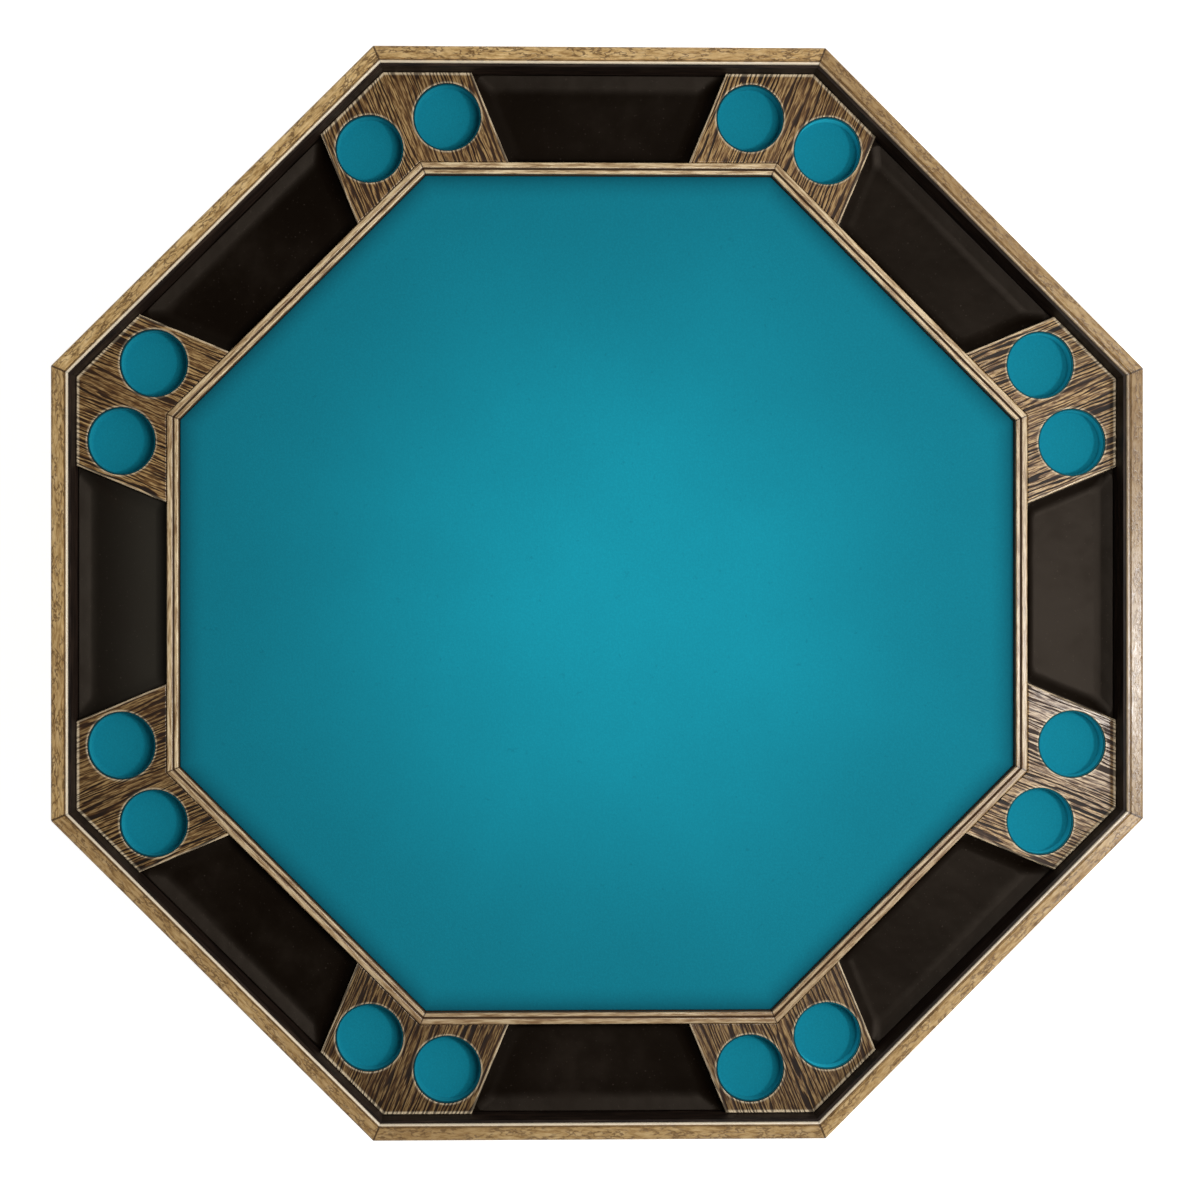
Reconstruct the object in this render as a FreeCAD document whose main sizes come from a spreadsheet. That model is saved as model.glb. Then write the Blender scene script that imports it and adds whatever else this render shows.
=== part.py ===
import FreeCAD
import Part
import Sketcher
import math
import os
import re

# An eight-sided game table: a card top that lifts off, over a bumper pool bed in a cabinet on four legs.
# Millimetres, +Z up, origin on the floor under the middle of the table. The eight sides face 0, 45, 90 ...
# degrees. A piece of one side is drawn with its side facing +Y, a piece of one corner with its corner on +Y,
# and each is then turned into place about Z.

SIDES = 8
SIDE_ANGLE = 360 / SIDES
HALF_ANGLE = SIDE_ANGLE / 2
LEG_SIDES = (1, 3, 5, 7)
SHEET = "Dims"

# The driving dimensions: name, value, meaning.
DIMENSIONS = [
    ("top_across", 1219.2, "card top across its flats"),
    ("table_height", 762.0, "floor to the top of the outer rail"),
    ("rail_thick", 19.0, "outer rail board"),
    ("rail_rise", 44.0, "outer rail above the panel"),
    ("rail_lip", 26.0, "outer rail hanging below the panel, round the cabinet"),
    ("rail_bead", 3.6, "bead along the outer rail's inner arris"),
    ("bead_groove", 1.8, "width of the groove beside that bead"),
    ("bead_groove_depth", 1.3, "depth of the groove beside that bead"),
    ("rail_round", 3.0, "round of the outer rail's outer arris"),
    ("panel_thick", 16.0, "base panel of the card top"),
    ("lining_thick", 3.0, "dark strip on the outer rail's inner face"),
    ("lining_drop", 3.0, "top of that strip below the rail's top"),
    ("channel_width", 102.0, "from the dark strip to the inner moulding"),
    ("moulding_width", 12.7, "inner moulding"),
    ("moulding_height", 21.0, "inner moulding above the panel"),
    ("moulding_bead", 6.6, "wide bead of the inner moulding"),
    ("moulding_groove", 2.0, "groove between its two beads"),
    ("moulding_groove_depth", 2.6, "depth of that groove"),
    ("moulding_step", 1.4, "narrow bead below the wide one"),
    ("bead_round", 1.7, "round of the beads' arrises"),
    ("block_thick", 19.0, "corner block"),
    ("block_round", 1.6, "round of the block's top edges"),
    ("cup_across", 76.2, "cup hole"),
    ("cup_bridge", 18.4, "wood between the two cup holes of a block"),
    ("cup_margin", 6.6, "wood between a cup hole and the block's end"),
    ("cup_round", 0.9, "round of the cup hole's top edge"),
    ("cup_felt_thick", 1.5, "felt that lines a cup hole"),
    ("cup_felt_drop", 1.0, "felt lining's edge below the block's top"),
    ("cup_felt_gap", 0.1, "between felt lining and hole"),
    ("tray_floor", 2.6, "floor of a chip tray"),
    ("tray_rim", 8.5, "height of a chip tray's rim"),
    ("tray_edge", 1.2, "flat on top of the rim"),
    ("tray_back", 15.0, "slope at the tray's outer side"),
    ("tray_end", 11.0, "slope at the tray's ends"),
    ("tray_front", 6.0, "slope at the tray's inner side"),
    ("field_board_thick", 9.0, "board under the playing felt"),
    ("felt_thick", 2.0, "playing felt"),
    ("fit_gap", 0.5, "drop-in clearance of trays, blocks and field board"),
    ("mitre_gap", 0.2, "hairline in a mitre joint"),
    ("pad_thick", 3.0, "felt pad between card top and cabinet"),
    ("pad_across", 30.0, "felt pad"),
    ("screw_across", 4.2, "wood screw"),
    ("screw_head_across", 8.4, "pan head of a wood screw"),
    ("screw_head_height", 2.2, "pan head of a wood screw"),
    ("screw_length", 30.0, "block screw, under its head"),
    ("screw_gap", 0.05, "radial clearance round a screw"),
    ("screw_inset", 15.0, "block screw from the block's inner and outer corner"),
    ("top_clearance", 3.0, "between the outer rail's lip and the cabinet"),
    ("top_rail_width", 88.0, "cabinet's top rail"),
    ("top_rail_round", 3.0, "round of the top rail's upper arrises"),
    ("bed_depth", 50.0, "bed cloth below the top of the cabinet's rails"),
    ("apron_thick", 19.0, "apron board"),
    ("apron_height", 109.0, "apron board"),
    ("apron_round", 2.5, "round of the apron's lower arrises"),
    ("bed_thick", 19.0, "bed board"),
    ("bed_cloth_thick", 1.5, "bed cloth"),
    ("bed_gap", 1.5, "between the bed and the aprons"),
    ("cushion_reach", 38.0, "cushion nose in front of the top rail"),
    ("nose_height", 35.0, "cushion nose above the bed cloth"),
    ("cushion_drop", 5.0, "cushion root below the top rail's top"),
    ("cushion_root", 32.0, "cushion height at its root"),
    ("cushion_nose", 5.0, "cushion height at its nose"),
    ("cushion_cloth_thick", 1.2, "cloth over a cushion"),
    ("pocket_across", 70.0, "way through a pocket"),
    ("liner_wall", 2.8, "pocket liner's sleeve"),
    ("liner_flange", 4.5, "pocket liner's flange beyond its sleeve"),
    ("liner_flange_thick", 1.5, "pocket liner's flange"),
    ("liner_tail", 6.0, "pocket liner below the bed board"),
    ("liner_gap", 0.2, "between liner and bed board"),
    ("pocket_setback", 52.0, "pocket centre from the cushion nose"),
    ("bumper_inner", 84.0, "inner middle bumper from the centre"),
    ("bumper_outer", 168.0, "outer middle bumper from the centre"),
    ("bumper_aside", 92.0, "pocket bumper beside its pocket"),
    ("bumper_setback", 44.0, "pocket bumper from the cushion nose"),
    ("bumper_height", 44.0, "bumper post"),
    ("bumper_foot_across", 40.0, "foot of a bumper post"),
    ("bumper_foot_height", 6.0, "foot of a bumper post"),
    ("bumper_waist_across", 26.0, "waist of a bumper post"),
    ("bumper_cap_across", 42.0, "cap of a bumper post"),
    ("bumper_cap_height", 6.5, "cap of a bumper post"),
    ("bumper_cap_round", 2.2, "round of the cap's upper edge"),
    ("bumper_sink", 1.0, "screw head below the top of the cap"),
    ("ring_across", 54.0, "rubber ring"),
    ("ring_height", 20.0, "rubber ring"),
    ("ring_round", 7.0, "round of the ring's outer edges"),
    ("ring_gap", 0.2, "between ring and post"),
    ("bumper_screw_depth", 14.0, "bumper screw below the bed cloth"),
    ("beam_width", 38.0, "beam under the bed"),
    ("beam_height", 64.0, "beam under the bed"),
    ("beam_offset", 175.0, "long beam from the middle"),
    ("ledger_thick", 19.0, "ledger strip under the bed's edge"),
    ("ledger_height", 30.0, "ledger strip under the bed's edge"),
    ("ledger_start", 48.0, "ledger strip from the middle of its side"),
    ("ledger_end", 186.0, "ledger strip's far end"),
    ("glue_leg", 40.0, "glue block along each apron"),
    ("glue_height", 84.0, "glue block"),
    ("box_width", 290.0, "ball box"),
    ("box_length", 218.0, "ball box"),
    ("box_height", 72.0, "ball box at the apron"),
    ("box_wall", 6.0, "ball box boards"),
    ("box_fall", 9.0, "fall of the ball box floor towards the apron"),
    ("box_felt_thick", 1.5, "felt on the ball box floor"),
    ("slot_width", 262.0, "ball opening in the end apron"),
    ("slot_height", 58.0, "ball opening in the end apron"),
    ("slot_rise", 30.0, "ball opening above the apron's lower edge"),
    ("slot_corner", 14.0, "corner of the ball opening"),
    ("leg_width", 76.0, "leg at its top"),
    ("foot_width", 54.0, "leg at its foot"),
    ("leg_chamfer", 6.0, "chamfer of the leg's corners"),
    ("foot_rise", 22.0, "leg's foot above the floor"),
    ("bolt_across", 9.5, "leg bolt"),
    ("bolt_gap", 0.3, "radial clearance round a leg bolt"),
    ("bolt_low", 30.0, "lower leg bolt above the apron's lower edge"),
    ("bolt_pitch", 38.0, "between a leg's two bolts"),
    ("bolt_head_across", 22.0, "domed head of a leg bolt"),
    ("bolt_head_height", 5.0, "domed head of a leg bolt"),
    ("bolt_head_round", 4.0, "dome of a leg bolt's head"),
    ("bolt_end", 3.0, "leg bolt beyond its nut"),
    ("washer_thick", 2.0, "washer under a leg nut"),
    ("nut_across", 16.0, "leg nut, across its flats"),
    ("nut_thick", 8.0, "leg nut"),
    ("nut_gap", 0.05, "radial clearance of nuts and threads"),
    ("stem_across", 10.0, "threaded stem of a leveller"),
    ("stem_length", 52.0, "threaded stem of a leveller"),
    ("stem_travel_hole", 64.0, "hole in the leg for the stem"),
    ("glide_across", 40.0, "leveller's foot"),
    ("glide_height", 9.0, "leveller's foot"),
    ("glide_round", 2.5, "round of the leveller's foot"),
    ("hex_across", 17.0, "leveller's hexagon, across its flats"),
    ("hex_height", 6.0, "leveller's hexagon"),
    ("insert_flange_across", 26.0, "flange of the threaded insert"),
    ("insert_flange_thick", 1.5, "flange of the threaded insert"),
    ("insert_across", 14.0, "barrel of the threaded insert"),
    ("insert_length", 24.0, "barrel of the threaded insert"),
]
CELLS = {name for name, _value, _meaning in DIMENSIONS}

# Lengths that follow from the cells. "_in" and "_out" are distances from the table's middle, square to a side.
DERIVED = {
    "half_tan": f"tan({HALF_ANGLE})",
    "half_sin": f"sin({HALF_ANGLE})",
    "half_cos": f"cos({HALF_ANGLE})",
    "rail_out": "top_across / 2",
    "rail_in": "rail_out - rail_thick",
    "lining_in": "rail_in - lining_thick",
    "moulding_out": "lining_in - channel_width",
    "field_out": "moulding_out - moulding_width",
    "channel_middle": "(lining_in + moulding_out) / 2",
    "cup_spacing": "cup_across + cup_bridge",
    "block_width": "cup_spacing + cup_across + 2 * cup_margin",
    "block_out": "lining_in - fit_gap",
    "block_in": "moulding_out + fit_gap",
    "cup_y": "(channel_middle - cup_spacing / 2 * half_sin) / half_cos",
    "cup_r": "cup_across / 2",
    "screw_r": "screw_across / 2",
    "screw_hole_r": "screw_r + screw_gap",
    "screw_y_inner": "block_in / half_cos + screw_inset",
    "screw_y_outer": "block_out / half_cos - screw_inset",
    "panel_top": "table_height - rail_rise",
    "panel_base": "panel_top - panel_thick",
    "rail_base": "panel_base - rail_lip",
    "field_top": "panel_top + field_board_thick",
    "moulding_top": "panel_top + moulding_height",
    "cabinet_out": "rail_in - top_clearance",
    "cabinet_top": "panel_base - pad_thick",
    "top_rail_in": "cabinet_out - top_rail_width",
    "apron_in": "cabinet_out - apron_thick",
    "bed_top": "cabinet_top - bed_depth",
    "board_top": "bed_top - bed_cloth_thick",
    "board_base": "board_top - bed_thick",
    "bed_out": "apron_in - bed_gap",
    "apron_base": "bed_top - apron_height",
    "nose_in": "top_rail_in - cushion_reach",
    "nose_z": "bed_top + nose_height",
    "root_top": "cabinet_top - cushion_drop",
    "pocket_y": "nose_in - pocket_setback",
    "pocket_bumper_y": "nose_in - bumper_setback",
    "liner_r": "pocket_across / 2 + liner_wall",
    "ring_base": "bed_top + bumper_height - bumper_cap_height - ring_height",
    "leg_middle": "apron_in - leg_width / 2",
    "insert_r": "insert_across / 2",
    "stem_r": "stem_across / 2",
    "bolt_hole_r": "bolt_across / 2 + bolt_gap",
    "slot_base": "apron_base + slot_rise",
    "box_base": "board_base - box_height",
}

doc = FreeCAD.newDocument("GameTable")


def make_sheet():
    """The spreadsheet of driving dimensions, one row each: name, value, meaning."""
    made = doc.addObject("Spreadsheet::Sheet", SHEET)
    for row, (name, value, meaning) in enumerate(DIMENSIONS, start=1):
        made.set(f"A{row}", name)
        made.set(f"B{row}", str(value))
        made.set(f"C{row}", meaning)
        made.setAlias(f"B{row}", name)
    doc.recompute()
    return made


sheet = make_sheet()


def formula(text):
    """Writes a length as an expression of the sheet: opens up derived names and points names at their cells."""

    def swap(match):
        word = match.group(0)
        if word in DERIVED:
            return "(" + formula(DERIVED[word]) + ")"
        return f"{SHEET}.{word}" if word in CELLS else word

    return re.sub(r"[A-Za-z_]\w*", swap, str(text))


def number(text):
    """The length that a formula gives now, in millimetres."""
    return float(sheet.evalExpression(formula(text)))


# ---------------------------------------------------------------- building blocks


def new_body(label, turn=0.0):
    """A sub-part, turned about Z. It may hold several separate solids."""
    body = doc.addObject("PartDesign::Body", label)
    body.Label = label
    body.AllowCompound = True
    body.Placement = FreeCAD.Placement(
        FreeCAD.Vector(), FreeCAD.Rotation(FreeCAD.Vector(0, 0, 1), turn)
    )
    return body


def origin_part(body, role):
    """One of the body's own origin planes or axes."""
    return next(f for f in body.Origin.OriginFeatures if f.Role == role)


def new_sketch(body, plane, height="0"):
    """A sketch on XY_Plane, XZ_Plane or YZ_Plane of the body, moved along that plane's normal."""
    sketch = body.newObject("Sketcher::SketchObject", "Outline")
    sketch.AttachmentSupport = [(origin_part(body, plane), "")]
    sketch.MapMode = "FlatFace"
    sketch.setExpression("AttachmentOffset.Base.z", formula(height))
    return sketch


def tie_point(sketch, geometry, end, x, y):
    """Ties a point of the sketch to two formulas."""
    for kind, text in (("DistanceX", x), ("DistanceY", y)):
        index = sketch.addConstraint(
            Sketcher.Constraint(kind, -1, 1, geometry, end, number(text))
        )
        name = f"g{geometry}_{end}_{kind}"
        sketch.renameConstraint(index, name)
        sketch.setExpression("Constraints." + name, formula(text))


def draw_polygon(sketch, corners):
    """A closed outline of straight lines through corners given as pairs of formulas."""
    spots = [FreeCAD.Vector(number(x), number(y), 0) for x, y in corners]
    first = sketch.GeometryCount
    for spot, following in zip(spots, spots[1:] + spots[:1]):
        sketch.addGeometry(Part.LineSegment(spot, following), False)
    for index, (x, y) in enumerate(corners):
        line = first + index
        following = first + (index + 1) % len(corners)
        sketch.addConstraint(Sketcher.Constraint("Coincident", line, 2, following, 1))
        tie_point(sketch, line, 1, x, y)


def draw_box(sketch, low_x, low_y, high_x, high_y):
    """A rectangle between two corners."""
    draw_polygon(sketch, [(low_x, low_y), (high_x, low_y), (high_x, high_y), (low_x, high_y)])


def draw_circle(sketch, x, y, radius):
    """A circle whose middle and radius follow formulas."""
    middle = FreeCAD.Vector(number(x), number(y), 0)
    circle = Part.Circle(middle, FreeCAD.Vector(0, 0, 1), number(radius))
    index = sketch.addGeometry(circle, False)
    tie_point(sketch, index, 3, x, y)
    name = f"g{index}_radius"
    sketch.renameConstraint(
        sketch.addConstraint(Sketcher.Constraint("Radius", index, number(radius))), name
    )
    sketch.setExpression("Constraints." + name, formula(radius))


def draw_octagon(sketch, across_half):
    """A regular octagon with flats facing the eight sides."""
    reach = f"({across_half}) / half_cos"
    angles = [HALF_ANGLE + SIDE_ANGLE * side for side in range(SIDES)]
    draw_polygon(sketch, [(f"{reach} * cos({a})", f"{reach} * sin({a})") for a in angles])


def draw_hexagon(sketch, x, y, across_flats):
    """A hexagon round a point, as on a nut."""
    reach = f"({across_flats}) / 2 / cos(30)"
    corners = []
    for angle in range(0, 360, 60):
        corners.append((f"{x} + {reach} * cos({angle})", f"{y} + {reach} * sin({angle})"))
    draw_polygon(sketch, corners)


def pad(body, sketch, length, both=False, backwards=False):
    """Adds material along the sketch's normal, from its plane or to both sides of it."""
    feature = body.newObject("PartDesign::Pad", "Pad")
    feature.Profile = sketch
    feature.Midplane = both
    feature.Reversed = backwards
    feature.setExpression("Length", formula(length))
    doc.recompute()
    return feature


def pocket(body, sketch, length, both=False, backwards=False):
    """Cuts against the sketch's normal, along it if backwards, or to both sides. It must cut something."""
    before = body.Shape.Volume
    feature = body.newObject("PartDesign::Pocket", "Pocket")
    feature.Profile = sketch
    feature.Midplane = both
    feature.Reversed = backwards
    feature.setExpression("Length", formula(length))
    doc.recompute()
    if not body.Shape.Volume < before - 1e-3:
        raise RuntimeError(f"a pocket of {body.Label} cuts nothing")
    return feature


def around(body, count, angle=360.0):
    """Repeats the whole body about Z: evenly over a full turn, or over an angle from first to last."""
    feature = body.newObject("PartDesign::PolarPattern", "Around")
    feature.TransformMode = "Whole shape"
    feature.Axis = (origin_part(body, "Z_Axis"), [""])
    feature.Angle = angle
    feature.Occurrences = count
    body.Tip = feature
    doc.recompute()


def mirror(body, plane):
    """Adds the body's mirror image in one of its origin planes."""
    feature = body.newObject("PartDesign::Mirrored", "Mirror")
    feature.TransformMode = "Whole shape"
    feature.MirrorPlane = (origin_part(body, plane), [""])
    body.Tip = feature
    doc.recompute()


def dress(body, kind, size, test):
    """Rounds (Fillet) or bevels (Chamfer) the edges for which test(middle of edge, edge) is true."""
    base = body.Tip
    names = []
    for index, edge in enumerate(base.Shape.Edges, start=1):
        if test(edge.CenterOfMass, edge):
            names.append(f"Edge{index}")
    if not names:
        raise RuntimeError(f"{kind} finds no edge on {body.Label}")
    feature = body.newObject("PartDesign::" + kind, kind)
    feature.Base = (base, names)
    size_name = "Radius" if kind == "Fillet" else "Size"
    feature.setExpression(size_name, formula(size))
    doc.recompute()


def near(value, text, within=0.05):
    """Whether a coordinate is at a formula's value."""
    return abs(value - number(text)) < within


def is_line(edge):
    """Whether an edge is straight."""
    return isinstance(edge.Curve, (Part.Line, Part.LineSegment))


def mitred_board(label, profile, turn=0.0):
    """A board along one side with both ends mitred to meet its neighbours. The profile is (y, z) pairs."""
    body = new_body(label, turn)
    section = new_sketch(body, "YZ_Plane")
    draw_polygon(section, profile)
    pad(body, section, "2 * top_across * half_tan", both=True)
    lean = "mitre_gap / 2 / half_cos"
    for sign in ("", "-"):
        waste = new_sketch(body, "XY_Plane")
        draw_polygon(
            waste,
            [
                (f"{sign}(top_across / 4 * half_tan - {lean})", "top_across / 4"),
                (f"{sign}(top_across * half_tan - {lean})", "top_across"),
                (f"{sign}(2 * top_across)", "top_across"),
                (f"{sign}(2 * top_across)", "top_across / 4"),
            ],
        )
        pocket(body, waste, "4 * table_height", both=True)
    return body


def box_profile(low_y, low_z, high_y, high_z):
    """The profile of a plain rectangular board."""
    return [(low_y, low_z), (high_y, low_z), (high_y, high_z), (low_y, high_z)]


def round_long_edges(body, radius, y, z):
    """Rounds the straight edges of a mitred board that run along its side at one distance and height."""
    dress(
        body,
        "Fillet",
        radius,
        lambda middle, edge: is_line(edge) and near(middle.y, y) and near(middle.z, z),
    )


# ---------------------------------------------------------------- the card top


def make_top_panel():
    """The eight-sided base panel that everything on the card top is fixed to."""
    body = new_body("top_panel")
    outline = new_sketch(body, "XY_Plane", "panel_base")
    draw_octagon(outline, "rail_in")
    pad(body, outline, "panel_thick")
    holes = new_sketch(body, "XY_Plane", "panel_base")
    for corner in range(SIDES):
        angle = HALF_ANGLE + SIDE_ANGLE * corner
        for reach in ("screw_y_inner", "screw_y_outer"):
            draw_circle(holes, f"{reach} * sin({angle})", f"{reach} * cos({angle})", "screw_hole_r")
    pocket(body, holes, "panel_thick", backwards=True)


def make_outer_rail(side):
    """One oak board of the outer rail: a beaded top edge above the panel, a lip below it."""
    groove_edge = "rail_in + rail_bead + bead_groove"
    groove_foot = "rail_in + rail_bead + bead_groove / 2"
    profile = [
        ("rail_in", "rail_base"),
        ("rail_out", "rail_base"),
        ("rail_out", "table_height"),
        (groove_edge, "table_height"),
        (groove_foot, "table_height - bead_groove_depth"),
        ("rail_in + rail_bead", "table_height"),
        ("rail_in", "table_height"),
    ]
    body = mitred_board(f"outer_rail_{side + 1}", profile, SIDE_ANGLE * side)
    round_long_edges(body, "rail_round", "rail_out", "table_height")
    round_long_edges(body, "rail_bead / 2", "rail_in", "table_height")
    round_long_edges(body, "rail_round", "rail_out", "rail_base")


def make_rail_lining():
    """Eight dark strips on the inner face of the outer rail."""
    profile = box_profile("lining_in", "panel_top", "rail_in", "table_height - lining_drop")
    body = mitred_board("rail_lining", profile)
    around(body, SIDES)


def make_inner_moulding():
    """Eight lengths of two-beaded moulding round the playing field."""
    valley = "moulding_out - moulding_bead - moulding_groove / 2"
    profile = [
        ("field_out", "panel_top"),
        ("moulding_out", "panel_top"),
        ("moulding_out", "moulding_top"),
        ("moulding_out - moulding_bead", "moulding_top"),
        (valley, "moulding_top - moulding_groove_depth"),
        ("moulding_out - moulding_bead - moulding_groove", "moulding_top - moulding_step"),
        ("field_out", "moulding_top - moulding_step"),
    ]
    body = mitred_board("inner_moulding", profile)
    round_long_edges(body, "bead_round", "moulding_out", "moulding_top")
    round_long_edges(body, "bead_round", "moulding_out - moulding_bead", "moulding_top")
    round_long_edges(body, "bead_round", "field_out", "moulding_top - moulding_step")
    around(body, SIDES)


def draw_block(sketch):
    """A corner block's outline: parallel ends, and a knee at the moulding's and at the rail's corner."""
    edge = "block_width / 2"
    inner = f"(block_in - {edge} * half_sin) / half_cos"
    outer = f"(block_out - {edge} * half_sin) / half_cos"
    draw_polygon(
        sketch,
        [
            ("0", "block_in / half_cos"),
            (edge, inner),
            (edge, outer),
            ("0", "block_out / half_cos"),
            (f"-{edge}", outer),
            (f"-{edge}", inner),
        ],
    )


def make_corner_block(corner):
    """One oak corner block with two cup holes."""
    body = new_body(f"corner_block_{corner + 1}", HALF_ANGLE + SIDE_ANGLE * corner)
    outline = new_sketch(body, "XY_Plane", "panel_top")
    draw_block(outline)
    pad(body, outline, "block_thick")
    cups = new_sketch(body, "XY_Plane", "panel_top")
    draw_circle(cups, "-cup_spacing / 2", "cup_y", "cup_r")
    draw_circle(cups, "cup_spacing / 2", "cup_y", "cup_r")
    pocket(body, cups, "block_thick", backwards=True)
    pilots = new_sketch(body, "XY_Plane", "panel_top")
    for reach in ("screw_y_inner", "screw_y_outer"):
        draw_circle(pilots, "0", reach, "screw_hole_r")
    pocket(body, pilots, "screw_length - panel_thick", backwards=True)
    top = "panel_top + block_thick"
    dress(body, "Fillet", "block_round", lambda m, e: is_line(e) and near(m.z, top))
    dress(body, "Fillet", "cup_round", lambda m, e: not is_line(e) and near(m.z, top) and e.Length > 9)


def make_cup_felts():
    """Sixteen felt linings, each over the floor and the wall of a cup hole."""
    body = new_body("cup_felts", HALF_ANGLE)
    outer = new_sketch(body, "XY_Plane", "panel_top")
    inner = new_sketch(body, "XY_Plane", "panel_top + cup_felt_thick")
    for side in ("-", ""):
        draw_circle(outer, f"{side}cup_spacing / 2", "cup_y", "cup_r - cup_felt_gap")
        draw_circle(inner, f"{side}cup_spacing / 2", "cup_y", "cup_r - cup_felt_gap - cup_felt_thick")
    pad(body, outer, "block_thick - cup_felt_drop")
    pocket(body, inner, "block_thick", backwards=True)
    around(body, SIDES)


def tray_outline(back, end, front):
    """The outline of a chip tray taken in from the channel by three distances."""

    def half_length(y):
        return f"(({y}) * half_sin - block_width / 2 - ({end})) / half_cos"

    far = f"lining_in - ({back})"
    close = f"moulding_out + ({front})"
    return [
        (half_length(far), far),
        (f"-{half_length(far)}", far),
        (f"-{half_length(close)}", close),
        (half_length(close), close),
    ]


def make_chip_tray(side):
    """One moulded chip tray: a flat floor with a sloping margin that rises to a low rim."""
    body = new_body(f"chip_tray_{side + 1}", SIDE_ANGLE * side)
    outline = new_sketch(body, "XY_Plane", "panel_top")
    draw_polygon(outline, tray_outline("fit_gap", "fit_gap", "fit_gap"))
    pad(body, outline, "tray_rim")
    floor = new_sketch(body, "XY_Plane", "panel_top + tray_floor")
    draw_polygon(floor, tray_outline("tray_back", "tray_end", "tray_front"))
    mouth = new_sketch(body, "XY_Plane", "panel_top + tray_rim")
    edge = "fit_gap + tray_edge"
    draw_polygon(mouth, tray_outline(edge, edge, edge))
    before = body.Shape.Volume
    hollow = body.newObject("PartDesign::SubtractiveLoft", "Hollow")
    hollow.Profile = floor
    hollow.Sections = [mouth]
    hollow.Ruled = True
    doc.recompute()
    if not body.Shape.Volume < before:
        raise RuntimeError("the tray's hollow cuts nothing")


def make_field():
    """The board under the playing field and the felt on it."""
    for label, base, thick in (
        ("field_board", "panel_top", "field_board_thick"),
        ("playing_felt", "field_top", "felt_thick"),
    ):
        body = new_body(label)
        outline = new_sketch(body, "XY_Plane", base)
        draw_octagon(outline, "field_out - fit_gap")
        pad(body, outline, thick)


def make_top_rest_pads():
    """Eight felt pads under the panel that carry the card top on the cabinet's rails."""
    body = new_body("top_rest_pads")
    outline = new_sketch(body, "XY_Plane", "cabinet_top")
    draw_circle(outline, "0", "(cabinet_out + top_rail_in) / 2", "pad_across / 2")
    pad(body, outline, "pad_thick")
    around(body, SIDES)


def make_block_screws():
    """Sixteen pan-head screws, up through the panel into the corner blocks."""
    body = new_body("block_screws", HALF_ANGLE)
    for radius, base, height in (
        ("screw_head_across / 2", "panel_base - screw_head_height", "screw_head_height"),
        ("screw_r", "panel_base", "screw_length"),
    ):
        outline = new_sketch(body, "XY_Plane", base)
        for reach in ("screw_y_inner", "screw_y_outer"):
            draw_circle(outline, "0", reach, radius)
        pad(body, outline, height)
    around(body, SIDES)


# ---------------------------------------------------------------- the cabinet


def make_apron(label, first_side, count):
    """Apron boards: one is drawn, and its copies stand evenly round the table."""
    profile = box_profile("apron_in", "apron_base", "cabinet_out", "bed_top")
    body = mitred_board(label, profile, SIDE_ANGLE * first_side)
    round_long_edges(body, "apron_round", "cabinet_out", "apron_base")
    if label == "end_aprons":
        cut_ball_slot(body)
    if label == "leg_aprons":
        cut_bolt_holes(body, "cabinet_out", "apron_thick")
    around(body, count)


def cut_ball_slot(body):
    """The opening through which the balls are taken out."""
    opening = new_sketch(body, "XZ_Plane", "-apron_in - apron_thick / 2")
    half = "slot_width / 2"
    draw_box(opening, f"-{half}", "slot_base", half, "slot_base + slot_height")
    pocket(body, opening, "2 * apron_thick", both=True)

    def at_corner(middle, edge):
        return is_line(edge) and near(abs(middle.x), half) and near(middle.y, "cabinet_out - apron_thick / 2")

    dress(body, "Fillet", "slot_corner", at_corner)


def cut_bolt_holes(body, outer, depth):
    """The two holes for a leg's bolts, drilled inwards from a distance."""
    holes = new_sketch(body, "XZ_Plane", f"-({outer})")
    for rise in ("0", "bolt_pitch"):
        draw_circle(holes, "0", f"apron_base + bolt_low + {rise}", "bolt_hole_r")
    pocket(body, holes, f"2 * ({depth})", both=True)


def make_glue_blocks():
    """Eight three-cornered blocks glued inside the corners of the aprons."""
    body = new_body("glue_blocks", HALF_ANGLE)
    outline = new_sketch(body, "XY_Plane", "board_base - glue_height")
    draw_polygon(
        outline,
        [
            ("0", "apron_in / half_cos"),
            ("glue_leg * half_cos", "apron_in / half_cos - glue_leg * half_sin"),
            ("-glue_leg * half_cos", "apron_in / half_cos - glue_leg * half_sin"),
        ],
    )
    pad(body, outline, "glue_height")
    around(body, SIDES)


def make_top_rails():
    """Eight solid top rails that carry the cushions, and the card top when it is on."""
    profile = box_profile("top_rail_in", "bed_top", "cabinet_out", "cabinet_top")
    body = mitred_board("top_rails", profile)
    round_long_edges(body, "top_rail_round", "cabinet_out", "cabinet_top")
    round_long_edges(body, "top_rail_round", "top_rail_in", "cabinet_top")
    around(body, SIDES)


def cushion_edge(skin):
    """The three free sides of a cushion's section, moved out by a skin, from upper root to lower root."""
    return [
        ("top_rail_in", f"root_top + {skin}"),
        (f"nose_in + cushion_nose / 2 - {skin} / 2", f"nose_z + cushion_nose / 2 + {skin}"),
        (f"nose_in - {skin}", "nose_z"),
        (f"nose_in + cushion_nose / 2 - {skin} / 2", f"nose_z - cushion_nose / 2 - {skin}"),
        ("top_rail_in", f"root_top - cushion_root - {skin}"),
    ]


def make_cushions():
    """Eight rubber cushions and the cloth over each."""
    rubber = mitred_board("cushion_rubbers", cushion_edge("0"))
    around(rubber, SIDES)
    cloth_profile = cushion_edge("cushion_cloth_thick") + cushion_edge("0")[::-1]
    cloth = mitred_board("cushion_cloths", cloth_profile)
    around(cloth, SIDES)


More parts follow.
